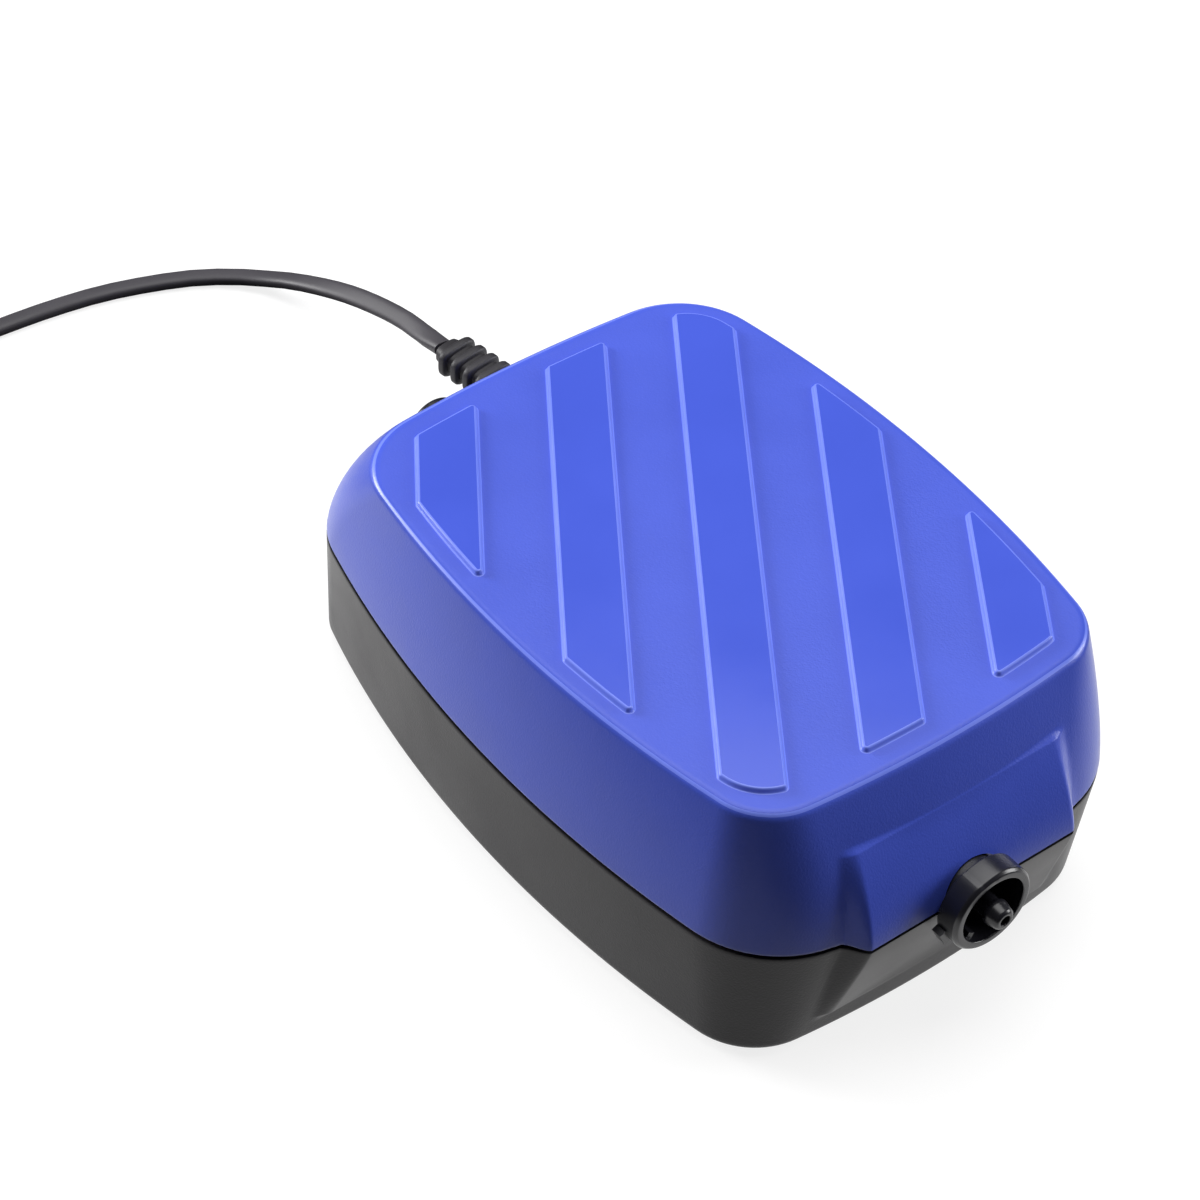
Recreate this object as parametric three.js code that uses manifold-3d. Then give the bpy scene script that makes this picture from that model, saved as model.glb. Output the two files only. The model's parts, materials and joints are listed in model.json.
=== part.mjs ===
// Aquarium air pump: a vibrating-arm diaphragm pump in a two-part plastic case.
// Millimetres, +Z up, feet on z = 0. Outlet at -Y, mains cord at +Y.

import * as THREE from 'three';
import { mergeVertices } from 'three/addons/utils/BufferGeometryUtils.js';
import Module from 'manifold-3d';

const wasm = await Module();
wasm.setup();

// ---------------------------------------------------------------- driving dimensions

const GAP = 0.3; // clearance kept between touching pieces
const CASE_Y = 2.8; // the case's middle stands here, so the pump is centred without its cord

// Case outlines. side, front and back are the half sizes, the *Arc values are the radii of the
// bulged sides and ends, the *Corner values round the corners, sideMid is where a side is widest.
const RIM = {
  side: 42.5, front: 61.1, back: 51.3, sideArc: 242, frontArc: 256, backArc: 313,
  frontCorner: 11.9, backCorner: 16, sideMid: -2.4,
};
const PARTING = {
  side: 45.8, front: 68.5, back: 68.6, sideArc: 244, frontArc: 212, backArc: 208,
  frontCorner: 19.9, backCorner: 17.1, sideMid: -8,
};
const UNDERSIDE = {
  side: 43.9, front: 63.7, back: 69, sideArc: 239, frontArc: 235, backArc: 230,
  frontCorner: 13.8, backCorner: 10, sideMid: -6.4,
};
// The raised bands on the top end along this outline.
const FIELD = {
  side: 38.7, front: 56.4, back: 46.6, sideArc: 238, frontArc: 252, backArc: 309,
  frontCorner: 9.3, backCorner: 9.7, sideMid: -4,
};

const CASE_BOTTOM = 1.6;
const CASE_TOP = 55.6;
const PARTING_Z = 28.15;
const PARTING_GAP = 0.7;
const BASE_TOP = PARTING_Z - PARTING_GAP / 2;
const COVER_BOTTOM = PARTING_Z + PARTING_GAP / 2;
const COVER_FLARE = 1.4; // how the cover wall curves in towards the rim
const RIM_ROUND = 2;
const UNDERSIDE_ROUND = 1.8;
const COVER_WALL = 2.2;
const BASE_WALL = 2.6;
const FLOOR_TOP = 4.1;
const LIP_OUTSIDE = COVER_WALL + GAP;
const LIP_INSIDE = 3.7;
const LIP_TOP = 30.6;

// Five raised bands run slantwise across the top.
const BAND_COUNT = 5;
const BAND_WIDTH = 10.6;
const BAND_PITCH = 22.85;
const BAND_SHIFT = 3.4;
const BAND_ANGLE = THREE.MathUtils.degToRad(-35);
const BAND_HEIGHT = 0.9;

// The boss around the outlet, on the front of both case halves.
const BOSS_FRONT = 70.9;
const BOSS_HALF = 21.5;
const BOSS_TOP = 45;
const BOSS_BOTTOM = 8;

const OUTLET_Z = 27.9;
const KNOB_RADIUS = 8.17;
const KNOB_CUP = 6.45;
const KNOB_FACE = -75.7;
const KNOB_NECK = 6.6;
const KNOB_NECK_HOLE = KNOB_NECK + GAP;
const KNOB_CUP_FLOOR = -69;
const KNOB_FLANGE = { radius: 8, front: -64.1, back: -62.9 };
const KNOB_BEVEL = 0.6;
const KNOB_LUG_ANGLE = THREE.MathUtils.degToRad(64);
const NOZZLE_TIP = -78.5;
const NOZZLE_BARB = 2.45;
const NOZZLE_BORE = 1;
const NOZZLE_BARREL = 3;
const NOZZLE_STEM = 2.1;
const NOZZLE_SHOULDER = -70; // the pushed-on airline stops here
const NOZZLE_FLANGE = { radius: 5, front: -62.6, back: -61.4 };
const NOZZLE_REAR = -55;
const HOSE_SPIGOT = 2.2;
const HOSE_INNER = HOSE_SPIGOT + GAP;
const HOSE_OUTER = 3.5;

const RELIEF_X = 13;
const INTAKE_X = -3;
const REAR_Z = 28;
const RELIEF_NECK = 4;
const RELIEF_START = 61.2;
const RELIEF_FLANGE = 5.6;
const RELIEF_FLANGE_END = 63;
const RELIEF_NECK_END = 70;
const RELIEF_END = 87.7;
const RELIEF_BEND_Y = 71; // outside the case the relief leans towards -X
const RELIEF_LEAN = THREE.MathUtils.degToRad(8);
const RIB_COUNT = 5;
const RIB_START = 72;
const RIB_PITCH = 3.15;
const RIB_HALF = [4, 2.8]; // half width and half height
const VALLEY_HALF = [3.3, 2.1];
const SLEEVE_SHOULDER = [2.5, 1.8];
const SLEEVE_TIP = [2.2, 1.5];
const SLEEVE_SQUARENESS = 0.6;
const INTAKE_NECK = 3.4;
const INTAKE_BORE = 2.6;
const INTAKE_CAP = 5.4;
const INTAKE_HOLE = 1;

const POSTS = [[-31.5, -48], [31.5, -48], [-29.5, 46], [29.5, 46]];
const POST_RADIUS = 4;
const CASE_SCREW = 1.6;
const CASE_SCREW_START = 5.4;
const CASE_SCREW_LENGTH = 34;
const FEET = [[-30, -36], [30, -36], [-30, 34], [30, 34]];
const FOOT_RADIUS = 6;
const FOOT_HEIGHT = CASE_BOTTOM - GAP;
const FOOT_STEM = 2.2;

// Drive: an E core with a coil, and an arm that swings its magnet past the three poles.
const ARM_X = -8;
const ARM_Z = 24;
const PIVOT_Y = -40;
const PIN_RADIUS = 1.5;
const STACK = 12; // height of the lamination stack and of the arm
const POLE_Y = 18;
const YOKE_Y = 37;
const CORE_BACK = 44;
const CORE_HALF = 18;
const CENTRE_LEG = 9;
const OUTER_LEG = 6;
const BOBBIN_WALL = 1;
const COIL_HALF_X = 11;
const COIL_HALF_Z = 12.2;
const CORE_SCREW_X = 15;
const CORE_SCREW_Y = 40.5;

// Pump head: plates stacked along X beside the arm.
const HEAD_Y = -12;
const HEAD_HALF = 17;
const OUTLET_PORT = -9;
const INLET_PORT = 5.6;
const DIAPHRAGM_RIM = 15;
const HEAD_SCREW_OFFSET = 14;
const HEAD_SCREW = 1.25;
const HEAD_SCREW_START = 3.1;
const CHAMBER_DEPTH = 10;
const CHAMBER_Y = 9;
const CHAMBER_HALF = 5.5;
const PORT_RADIUS = 1.6;
const CLAMP_RING = [5, 7.4];
const VALVE_PLATE = [9.5, 12.5];
const HEAD_GASKET = [12.8, 13.8];
const HEAD_BLOCK = [14.1, 30];
const SPIGOT_X = 19;
const FLAP_HALF = 3.1;
const OUTLET_FLAP = { x0: 12.8, x1: 13.5, from: -13.8, to: -4.2 };
const INLET_FLAP = { x0: 8.5, x1: 9.2, from: 2.8, to: 8.6 };
const PLATE_BORE = PIN_RADIUS + GAP;
const PLATE_RADIUS = 6;

// Mains cord: it leaves the strain relief, sinks to the floor and ends in a coil with the plug.
const CORD_HALF = [1.9, 1.2]; // a flat twin cord: half width and half thickness
const CORD_SQUARENESS = 0.8;
const CORD_STEPS = 44;
const CORD_ROUTE = [
  [10.6, 87.9, 28], [10.7, 90.4, 27.5], [11.4, 95, 26], [12.6, 101.3, 23.8],
  [13.7, 107.5, 21.2], [14.6, 113.5, 18.5], [15.3, 119.5, 15.8], [15.8, 126, 12.8],
  [15.9, 132, 10], [15.5, 138, 7.3], [14.4, 143.7, 5], [12.4, 149, 3],
  [9.3, 153.9, 1.7], [5.2, 157.6, 1.25], [0, 160.6, 1.25], [-5.8, 163, 1.25],
  [-12, 165.2, 1.25], [-18.2, 166.8, 1.25], [-24.6, 167.9, 1.25], [-31, 168.7, 1.25],
  [-37.5, 169.2, 1.25], [-48, 170.3, 1.25], [-60, 171.2, 1.25], [-70, 171.7, 1.25],
  [-80, 172, 1.25],
];
const COIL_CENTRE = [-96, 147.5];
const RING_OUTER = 26.4;
const RING_INNER = 18.8;
const RING_HEIGHT = 9.8;
const PLUG_X = -126;
const PLUG_NECK_Y = 139;
const PLUG_BACK_Y = 127;
const PLUG_FACE_Y = 103;
const PLUG_Z = 6.5;
const BLADE_PITCH = 12.7;
const BLADE = { halfThick: 0.75, halfWide: 3.17, reach: 16.5, root: 4.7 };
const CORNER_NAMES = ['front_left', 'front_right', 'rear_left', 'rear_right'];

// ---------------------------------------------------------------- materials

function plain(colour, roughness, metalness = 0) {
  return new THREE.MeshStandardMaterial({ color: colour, roughness, metalness });
}

const BLUE_ABS = plain(0x4458c8, 0.42);
const BLACK_ABS = plain(0x2c2a2d, 0.5);
const GLOSS_BLACK = plain(0x0d0d12, 0.2);
const BLACK_PVC = plain(0x38363c, 0.6);
const BLACK_RUBBER = plain(0x1c1c1e, 0.8);
const WHITE_NYLON = plain(0xe4e0d4, 0.5);
const CLEAR_PVC = plain(0xc8d0cc, 0.3);
const STEEL = plain(0xb4b6ba, 0.3, 1);
const CORE_STEEL = plain(0x6e7074, 0.5, 1);
const MAGNET_FERRITE = plain(0x2a2a2c, 0.6);
const COPPER = plain(0xb4622c, 0.35, 1);
const BRASS = plain(0xc9a24a, 0.3, 1);
const FELT = plain(0xd8d8d0, 0.95);
const BROWN_PVC = plain(0x6a4028, 0.5);
const BLUE_PVC = plain(0x2a5ea8, 0.5);

// ---------------------------------------------------------------- solids

const pump = new THREE.Group();
pump.position.y = CASE_Y;

function addPiece(name, geometry, material, x = 0, y = 0, z = 0) {
  const mesh = new THREE.Mesh(geometry, material);
  mesh.name = name;
  mesh.position.set(x, y, z);
  pump.add(mesh);
  return mesh;
}

// Signed volume: positive when the faces point out.
function signedVolume(positions, index) {
  const corner = [new THREE.Vector3(), new THREE.Vector3(), new THREE.Vector3()];
  let volume = 0;
  for (let i = 0; i < index.length; i += 3) {
    corner.forEach((v, k) => v.fromArray(positions, index[i + k] * 3));
    volume += corner[0].dot(corner[1].cross(corner[2])) / 6;
  }
  return volume;
}

function closed(geometry) {
  const bare = new THREE.BufferGeometry();
  bare.setAttribute('position', geometry.getAttribute('position').clone());
  if (geometry.index) bare.setIndex(geometry.index.clone());
  const merged = mergeVertices(bare, 1e-4);
  const index = Array.from(merged.index.array);
  const positions = merged.getAttribute('position').array;
  const kept = [];
  for (let i = 0; i < index.length; i += 3) {
    const [a, b, c] = index.slice(i, i + 3);
    if (a !== b && b !== c && c !== a) kept.push(a, b, c);
  }
  if (signedVolume(positions, kept) < 0) kept.reverse();
  merged.setIndex(kept);
  return merged;
}

function toSolid(geometry) {
  const merged = closed(geometry);
  return new wasm.Manifold(new wasm.Mesh({
    numProp: 3,
    vertProperties: new Float32Array(merged.getAttribute('position').array),
    triVerts: new Uint32Array(merged.index.array),
  }));
}

function toGeometry(solid) {
  const mesh = solid.getMesh();
  const geometry = new THREE.BufferGeometry();
  geometry.setAttribute('position', new THREE.BufferAttribute(new Float32Array(mesh.vertProperties), 3));
  geometry.setIndex(Array.from(mesh.triVerts));
  return geometry;
}

function joined(...solids) {
  return solids.reduce((sum, solid) => sum.add(solid));
}

function cutFrom(solid, ...cutters) {
  return cutters.reduce((rest, cutter) => rest.subtract(cutter), solid);
}

// A box between two corners.
function box(x0, x1, y0, y1, z0, z1) {
  const geometry = new THREE.BoxGeometry(x1 - x0, y1 - y0, z1 - z0);
  return geometry.translate((x0 + x1) / 2, (y0 + y1) / 2, (z0 + z1) / 2);
}

// Turned shapes: profile points are [radius, station along the axis].
function turned(profile, sides) {
  return new THREE.LatheGeometry(profile.map(([r, s]) => new THREE.Vector2(r, s)), sides);
}

function turnedZ(profile, sides = 20) {
  return closed(turned(profile, sides).rotateX(Math.PI / 2));
}

function turnedX(profile, sides = 20) {
  return closed(turned(profile, sides).rotateZ(-Math.PI / 2));
}

function turnedY(profile, sides = 24) {
  return closed(turned(profile, sides));
}

function rod(radius, from, to) {
  return [[0, from], [radius, from], [radius, to], [0, to]];
}

function sleeve(inner, outer, from, to) {
  return [[inner, from], [outer, from], [outer, to], [inner, to], [inner, from]];
}

function tube(points, radius, sides, steps, boreRadius = 0) {
  const corners = points.map((p) => new THREE.Vector3(...p));
  const path = new THREE.CatmullRomCurve3(corners, false, 'centripetal');
  const section = circle(radius, sides);
  if (boreRadius > 0) section.holes.push(circle(boreRadius, sides));
  return closed(new THREE.ExtrudeGeometry(section, { steps, extrudePath: path, curveSegments: 1 }));
}

function circle(radius, sides, cx = 0, cy = 0) {
  const corners = [];
  for (let i = 0; i < sides; i += 1) {
    const angle = (2 * Math.PI * i) / sides;
    corners.push(new THREE.Vector2(cx + radius * Math.cos(angle), cy + radius * Math.sin(angle)));
  }
  return new THREE.Shape(corners);
}

function rectangle(x0, x1, y0, y1) {
  const corners = [[x0, y0], [x1, y0], [x1, y1], [x0, y1]];
  return new THREE.Shape(corners.map(([x, y]) => new THREE.Vector2(x, y)));
}

// A flat plate of thickness from z0 to z1 with round or square holes.
function plate(outline, holes, z0, z1) {
  outline.holes.push(...holes);
  const geometry = new THREE.ExtrudeGeometry(outline, { depth: z1 - z0, bevelEnabled: false });
  return geometry.translate(0, 0, z0);
}

// Turns a plate so that its thickness runs along X and its outline lies in (Y, Z).
function standing(geometry) {
  return geometry.rotateX(Math.PI / 2).rotateZ(Math.PI / 2);
}

// ---------------------------------------------------------------- case outlines

const END_STEPS = 2;
const CORNER_STEPS = 5;
const SIDE_STEPS = 3;

function circleCrossing(c1, r1, c2, r2, towards) {
  const between = new THREE.Vector2().subVectors(c2, c1);
  const distance = between.length();
  const along = (r1 * r1 - r2 * r2 + distance * distance) / (2 * distance);
  const across = Math.sqrt(r1 * r1 - along * along);
  const unit = between.divideScalar(distance);
  const foot = c1.clone().addScaledVector(unit, along);
  const normal = new THREE.Vector2(-unit.y, unit.x);
  const first = foot.clone().addScaledVector(normal, across);
  const second = foot.clone().addScaledVector(normal, -across);
  return first.dot(towards) > second.dot(towards) ? first : second;
}

function arcPoints(centre, radius, from, to, steps) {
  const points = [];
  for (let i = 0; i <= steps; i += 1) {
    const angle = from + ((to - from) * i) / steps;
    const spoke = new THREE.Vector2(Math.cos(angle), Math.sin(angle));
    points.push(centre.clone().addScaledVector(spoke, radius));
  }
  return points;
}

// From the middle of one end to the widest point of the +X side.
function quarterOutline({ side, sideArc, sideMid }, { reach, endArc, corner }, inset, end) {
  const endCentre = new THREE.Vector2(0, end * (reach - endArc));
  const sideCentre = new THREE.Vector2(side - sideArc, sideMid);
  const towards = new THREE.Vector2(1, end * 0.5);
  const cornerCentre = circleCrossing(
    endCentre, endArc - corner, sideCentre, sideArc - corner, towards,
  );
  const endAngle = Math.atan2(cornerCentre.y - endCentre.y, cornerCentre.x - endCentre.x);
  const sideAngle = Math.atan2(cornerCentre.y - sideCentre.y, cornerCentre.x - sideCentre.x);
  return [
    ...arcPoints(endCentre, endArc - inset, (end * Math.PI) / 2, endAngle, END_STEPS),
    ...arcPoints(cornerCentre, corner - inset, endAngle, sideAngle, CORNER_STEPS).slice(1),
    ...arcPoints(sideCentre, sideArc - inset, sideAngle, 0, SIDE_STEPS).slice(1),
  ];
}

// The whole outline, counter-clockwise from the middle of the front.
function outline(shape, inset = 0) {
  const frontEnd = { reach: shape.front, endArc: shape.frontArc, corner: shape.frontCorner };
  const backEnd = { reach: shape.back, endArc: shape.backArc, corner: shape.backCorner };
  const front = quarterOutline(shape, frontEnd, inset, -1);
  const back = quarterOutline(shape, backEnd, inset, 1);
  const right = [...front, ...back.reverse().slice(1)];
  const left = right.slice(1, -1).reverse().map((p) => new THREE.Vector2(-p.x, p.y));
  return [...right, ...left];
}

function blended(outer, inner, share) {
  return outer.map((p, i) => p.clone().lerp(inner[i], share));
}

function coverSection(z, inset = 0) {
  const rise = Math.max(0, (z - PARTING_Z) / (CASE_TOP - PARTING_Z));
  return blended(outline(PARTING, inset), outline(RIM, inset), rise ** COVER_FLARE);
}

function baseSection(z, inset = 0) {
  const share = (PARTING_Z - z) / (PARTING_Z - CASE_BOTTOM);
  return blended(outline(PARTING, inset), outline(UNDERSIDE, inset), share);
}

// A closed solid through rings of equal point counts, each { z, points }.
function lofted(rings) {
  return skinned(rings.map(({ z, points }) => points.map((p) => new THREE.Vector3(p.x, p.y, z))));
}

// A closed solid through rings of points in space, each right-handed about the way it goes.
function skinned(rings) {
  const count = rings[0].length;
  const positions = rings.flat().flatMap((p) => p.toArray());
  const index = [];
  for (let ring = 0; ring + 1 < rings.length; ring += 1) {
    for (let i = 0; i < count; i += 1) {
      const a = ring * count + i;
      const b = ring * count + ((i + 1) % count);
      index.push(a, b, b + count, a, b + count, a + count);
    }
  }
  [0, rings.length - 1].forEach((ring) => {
    const centre = positions.length / 3;
    const middle = new THREE.Vector3();
    rings[ring].forEach((p) => middle.addScaledVector(p, 1 / count));
    positions.push(...middle.toArray());
    for (let i = 0; i < count; i += 1) {
      const pair = [ring * count + i, ring * count + ((i + 1) % count)];
      if (ring === 0) pair.reverse();
      index.push(centre, ...pair);
    }
  });
  const geometry = new THREE.BufferGeometry();
  geometry.setAttribute('position', new THREE.Float32BufferAttribute(positions, 3));
  geometry.setIndex(index);
  return geometry;
}

// A section swept along stations { centre, along, points }; its own x stays level.
function swept(stations) {
  const up = new THREE.Vector3(0, 0, 1);
  return skinned(stations.map(({ centre, along, points }) => {
    const side = new THREE.Vector3().crossVectors(along, up).normalize();
    const down = new THREE.Vector3().crossVectors(along, side).normalize();
    return points.map((p) => centre.clone().addScaledVector(side, p.x).addScaledVector(down, p.y));
  }));
}

function roundedRings(section, edgeZ, radius, inwards) {
  const rings = [];
  const steps = 3;
  for (let i = 0; i <= steps; i += 1) {
    const angle = (Math.PI / 2) * (i / steps);
    const z = edgeZ - inwards * radius * (1 - Math.sin(angle));
    rings.push({ z, points: section(z, radius * (1 - Math.cos(angle))) });
  }
  return rings;
}

function levels(from, to, steps) {
  return Array.from({ length: steps + 1 }, (_, i) => from + ((to - from) * i) / steps);
}

// ---------------------------------------------------------------- cover

// Keeps the part of a convex polygon where point . normal <= limit.
function clipped(polygon, normal, limit) {
  const kept = [];
  polygon.forEach((p, i) => {
    const next = polygon[(i + 1) % polygon.length];
    const here = p.dot(normal) - limit;
    const there = next.dot(normal) - limit;
    if (here <= 0) kept.push(p);
    if (here * there < 0) kept.push(p.clone().lerp(next, here / (here - there)));
  });
  return kept;
}

function raisedBands() {
  const across = new THREE.Vector2(Math.cos(BAND_ANGLE), Math.sin(BAND_ANGLE));
  const field = outline(FIELD);
  const bands = [];
  for (let i = 0; i < BAND_COUNT; i += 1) {
    const middle = BAND_SHIFT + (i - (BAND_COUNT - 1) / 2) * BAND_PITCH;
    const lower = clipped(field, across, middle + BAND_WIDTH / 2);
    const shape = new THREE.Shape(clipped(lower, across.clone().negate(), BAND_WIDTH / 2 - middle));
    bands.push(toSolid(plate(shape, [], CASE_TOP - 0.6, CASE_TOP + BAND_HEIGHT)));
  }
  return bands;
}

// A convex block through a list of [halfWidth, frontY, z] levels, reaching back to backY.
function bossBlock(steps, backY) {
  const rings = steps.map(([half, frontY, z]) => ({
    z,
    points: [[-half, frontY], [half, frontY], [half, backY], [-half, backY]]
      .map(([x, y]) => new THREE.Vector2(x, y)),
  }));
  return toSolid(lofted(rings));
}

function rearHole(x, radius) {
  const cutter = turnedY(rod(radius, 55, 80)).translate(x, 0, REAR_Z);
  return toSolid(cutter);
}

// Holes that the parting line splits between cover and base.
function endHoles() {
  return [
    toSolid(turnedY(rod(KNOB_NECK_HOLE, -80, -60)).translate(0, 0, OUTLET_Z)),
    rearHole(RELIEF_X, RELIEF_NECK + GAP),
    rearHole(INTAKE_X, INTAKE_NECK + GAP),
  ];
}

function upright(x, y, radius, from, to, sides = 20) {
  return toSolid(turnedZ(rod(radius, from, to), sides).translate(x, y, 0));
}

function makeCover() {
  const outside = toSolid(lofted([
    ...levels(COVER_BOTTOM, CASE_TOP - RIM_ROUND - 1, 5).map((z) => ({ z, points: coverSection(z) })),
    ...roundedRings(coverSection, CASE_TOP, RIM_ROUND, 1),
  ]));
  const hollow = toSolid(lofted([
    ...levels(COVER_BOTTOM - 1, LIP_TOP, 2), ...levels(36, CASE_TOP - COVER_WALL, 3),
  ].map((z) => ({ z, points: coverSection(z, COVER_WALL) }))));
  const boss = bossBlock([
    [BOSS_HALF, -BOSS_FRONT, COVER_BOTTOM], [BOSS_HALF, -70.3, 32], [BOSS_HALF - 0.2, -69, 36.5],
    [BOSS_HALF - 0.5, -67.2, 41], [BOSS_HALF - 1, -65, BOSS_TOP],
  ], -58);
  const posts = POSTS.map(([x, y]) => upright(x, y, POST_RADIUS, COVER_BOTTOM, CASE_TOP - 1));
  const pilots = POSTS.map(([x, y]) => upright(x, y, CASE_SCREW + GAP, COVER_BOTTOM - 1, 42, 12));
  const shell = joined(outside, boss, ...raisedBands()).subtract(hollow);
  const columns = joined(...posts).intersect(outside);
  const body = cutFrom(joined(shell, columns), ...pilots, ...endHoles());
  addPiece('cover', toGeometry(body), BLUE_ABS);
}

// ---------------------------------------------------------------- base

function baseFittings() {
  const saddle = cutFrom(
    toSolid(box(-7, 7, -61.1, -58.5, FLOOR_TOP - 1, BASE_TOP)),
    toSolid(turnedY(rod(HOSE_INNER, -65, NOZZLE_REAR)).translate(0, 0, OUTLET_Z)),
  );
  const corePosts = [-CORE_SCREW_X, CORE_SCREW_X].map((dx) => (
    upright(ARM_X + dx, CORE_SCREW_Y, 3.4, FLOOR_TOP - 1, ARM_Z - STACK / 2 - GAP)
  ));
  const corePilots = [-CORE_SCREW_X, CORE_SCREW_X].map((dx) => (
    upright(ARM_X + dx, CORE_SCREW_Y, 1.8, 6, 30, 12)
  ));
  const coreRest = toSolid(box(ARM_X - 17, ARM_X + 17, 38.5, 42.5, FLOOR_TOP - 1, ARM_Z - STACK / 2 - GAP));
  const pivotFoot = cutFrom(
    upright(ARM_X, PIVOT_Y, 4.5, FLOOR_TOP - 1, ARM_Z - STACK / 2 - GAP),
    upright(ARM_X, PIVOT_Y, PIN_RADIUS + GAP, 8, 30, 12),
  );
  const headFence = [HEAD_Y - HEAD_HALF - 2.8, HEAD_Y + HEAD_HALF + GAP].map((y) => (
    toSolid(box(HEAD_BLOCK[0] + 0.3, HEAD_BLOCK[1] - 0.4, y, y + 2.5, FLOOR_TOP - 1, 12))
  ));
  const headRest = toSolid(box(15, 29, HEAD_Y - 10, HEAD_Y + 10, FLOOR_TOP - 1, ARM_Z - HEAD_HALF - GAP));
  const coreSeat = cutFrom(joined(coreRest, ...corePosts), ...corePilots);
  return [saddle, coreSeat, pivotFoot, ...headFence, headRest];
}

function makeBase() {
  const outside = toSolid(lofted([
    ...roundedRings(baseSection, CASE_BOTTOM, UNDERSIDE_ROUND, -1).reverse(),
    ...levels(8, BASE_TOP, 2).map((z) => ({ z, points: baseSection(z) })),
  ]));
  const hollow = toSolid(lofted(
    levels(FLOOR_TOP, BASE_TOP + 1, 2).map((z) => ({ z, points: baseSection(z, BASE_WALL) })),
  ));
  const lip = cutFrom(
    toSolid(lofted([24, PARTING_Z, LIP_TOP].map((z) => ({ z, points: coverSection(z, LIP_OUTSIDE) })))),
    toSolid(lofted([23, PARTING_Z, LIP_TOP + 1].map((z) => ({ z, points: coverSection(z, LIP_INSIDE) })))),
  );
  const boss = bossBlock([
    [22.5, -64.5, BOSS_BOTTOM], [22, -68, 17], [BOSS_HALF, -BOSS_FRONT, BASE_TOP],
  ], -60);
  const posts = POSTS.map(([x, y]) => upright(x, y, POST_RADIUS, FLOOR_TOP - 1, BASE_TOP));
  const screwHoles = POSTS.flatMap(([x, y]) => [
    upright(x, y, CASE_SCREW + GAP, -1, 60, 12),
    upright(x, y, 3.2, -1, 8, 16),
  ]);
  const footHoles = FEET.map(([x, y]) => upright(x, y, FOOT_STEM + GAP, -1, 6, 12));
  const shell = joined(outside, boss).subtract(hollow);
  const whole = joined(shell, lip, ...posts, ...baseFittings());
  const body = cutFrom(whole, ...screwHoles, ...footHoles, ...endHoles());
  addPiece('base', toGeometry(body), BLACK_ABS);
}

function makeFeet() {
  const profile = [
    [0, 0], [FOOT_RADIUS - 0.8, 0], [FOOT_RADIUS, FOOT_HEIGHT], [FOOT_STEM, FOOT_HEIGHT],
    [FOOT_STEM, FLOOR_TOP + GAP], [FOOT_STEM + 1.1, FLOOR_TOP + GAP], [FOOT_STEM - 0.6, 6.4], [0, 6.4],
  ];
  FEET.forEach(([x, y], i) => {
    addPiece(`foot_${CORNER_NAMES[i]}`, turnedZ(profile, 16), BLACK_RUBBER, x, y);
  });
}

function screwProfile(headRadius, headHeight, shankRadius, length) {
  return [
    [0, 0], [headRadius, 0], [headRadius, headHeight], [shankRadius, headHeight],
    [shankRadius, length - 1], [shankRadius * 0.4, length], [0, length],
  ];
}

function makeCaseScrews() {
  POSTS.forEach(([x, y], i) => {
    const screw = turnedZ(screwProfile(2.8, 2, CASE_SCREW, CASE_SCREW_LENGTH), 12);
    addPiece(`case_screw_${CORNER_NAMES[i]}`, screw, STEEL, x, y, CASE_SCREW_START);
  });
}

// ---------------------------------------------------------------- outlet

function makeFlowKnob() {
  const back = -BOSS_FRONT - GAP;
  const bore = NOZZLE_BARREL + GAP;
  const flange = KNOB_FLANGE;
  const cup = turnedY([
    [KNOB_CUP, KNOB_FACE], [KNOB_RADIUS - KNOB_BEVEL, KNOB_FACE],
    [KNOB_RADIUS, KNOB_FACE + KNOB_BEVEL], [KNOB_RADIUS, back], [KNOB_NECK, back],
    [KNOB_NECK, flange.front], [flange.radius, flange.front], [flange.radius, flange.back],
    [bore, flange.back], [bore, KNOB_CUP_FLOOR], [KNOB_CUP, KNOB_CUP_FLOOR], [KNOB_CUP, KNOB_FACE],
  ], 28);
  const lug = toSolid(box(-1.6, 1.6, back - 2, back, -9.2, -7.4).rotateY(KNOB_LUG_ANGLE));
  addPiece('flow_knob', toGeometry(toSolid(cup).add(lug)), GLOSS_BLACK, 0, 0, OUTLET_Z);
}

function makeNozzle() {
  const flange = NOZZLE_FLANGE;
  const profile = [
    [NOZZLE_BORE, NOZZLE_TIP], [1.5, NOZZLE_TIP], [1.9, NOZZLE_TIP + 0.4],
    [NOZZLE_BARB, NOZZLE_TIP + 2.2], [NOZZLE_BARB, NOZZLE_TIP + 2.8], [1.95, NOZZLE_TIP + 3.3],
    [NOZZLE_STEM, NOZZLE_SHOULDER], [NOZZLE_BARREL, NOZZLE_SHOULDER],
    [NOZZLE_BARREL, flange.front], [flange.radius, flange.front], [flange.radius, flange.back],
    [HOSE_SPIGOT, flange.back], [HOSE_SPIGOT, NOZZLE_REAR], [NOZZLE_BORE, NOZZLE_REAR],
    [NOZZLE_BORE, NOZZLE_TIP],
  ];
  addPiece('outlet_nozzle', turnedY(profile, 16), GLOSS_BLACK, 0, 0, OUTLET_Z);
}

function makeHose() {
  const route = [
    [0, -58.2, OUTLET_Z], [0, -54.6, OUTLET_Z], [1.2, -51, 27.6],
    [6, -47.4, 26.6], [12.6, -45, 25.2], [17.4, -41.4, 24.2],
    [SPIGOT_X, -36.6, ARM_Z], [SPIGOT_X, -33.6, ARM_Z], [SPIGOT_X, -30.6, ARM_Z],
  ];
  addPiece('outlet_hose', tube(route, HOSE_OUTER, 10, 14, HOSE_INNER), CLEAR_PVC);
}

// ---------------------------------------------------------------- pump head

const HEAD_SCREWS = [[-1, -1], [1, -1], [-1, 1], [1, 1]].map(([dy, dz]) => (
  [dy * HEAD_SCREW_OFFSET, dz * HEAD_SCREW_OFFSET]
));

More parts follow.
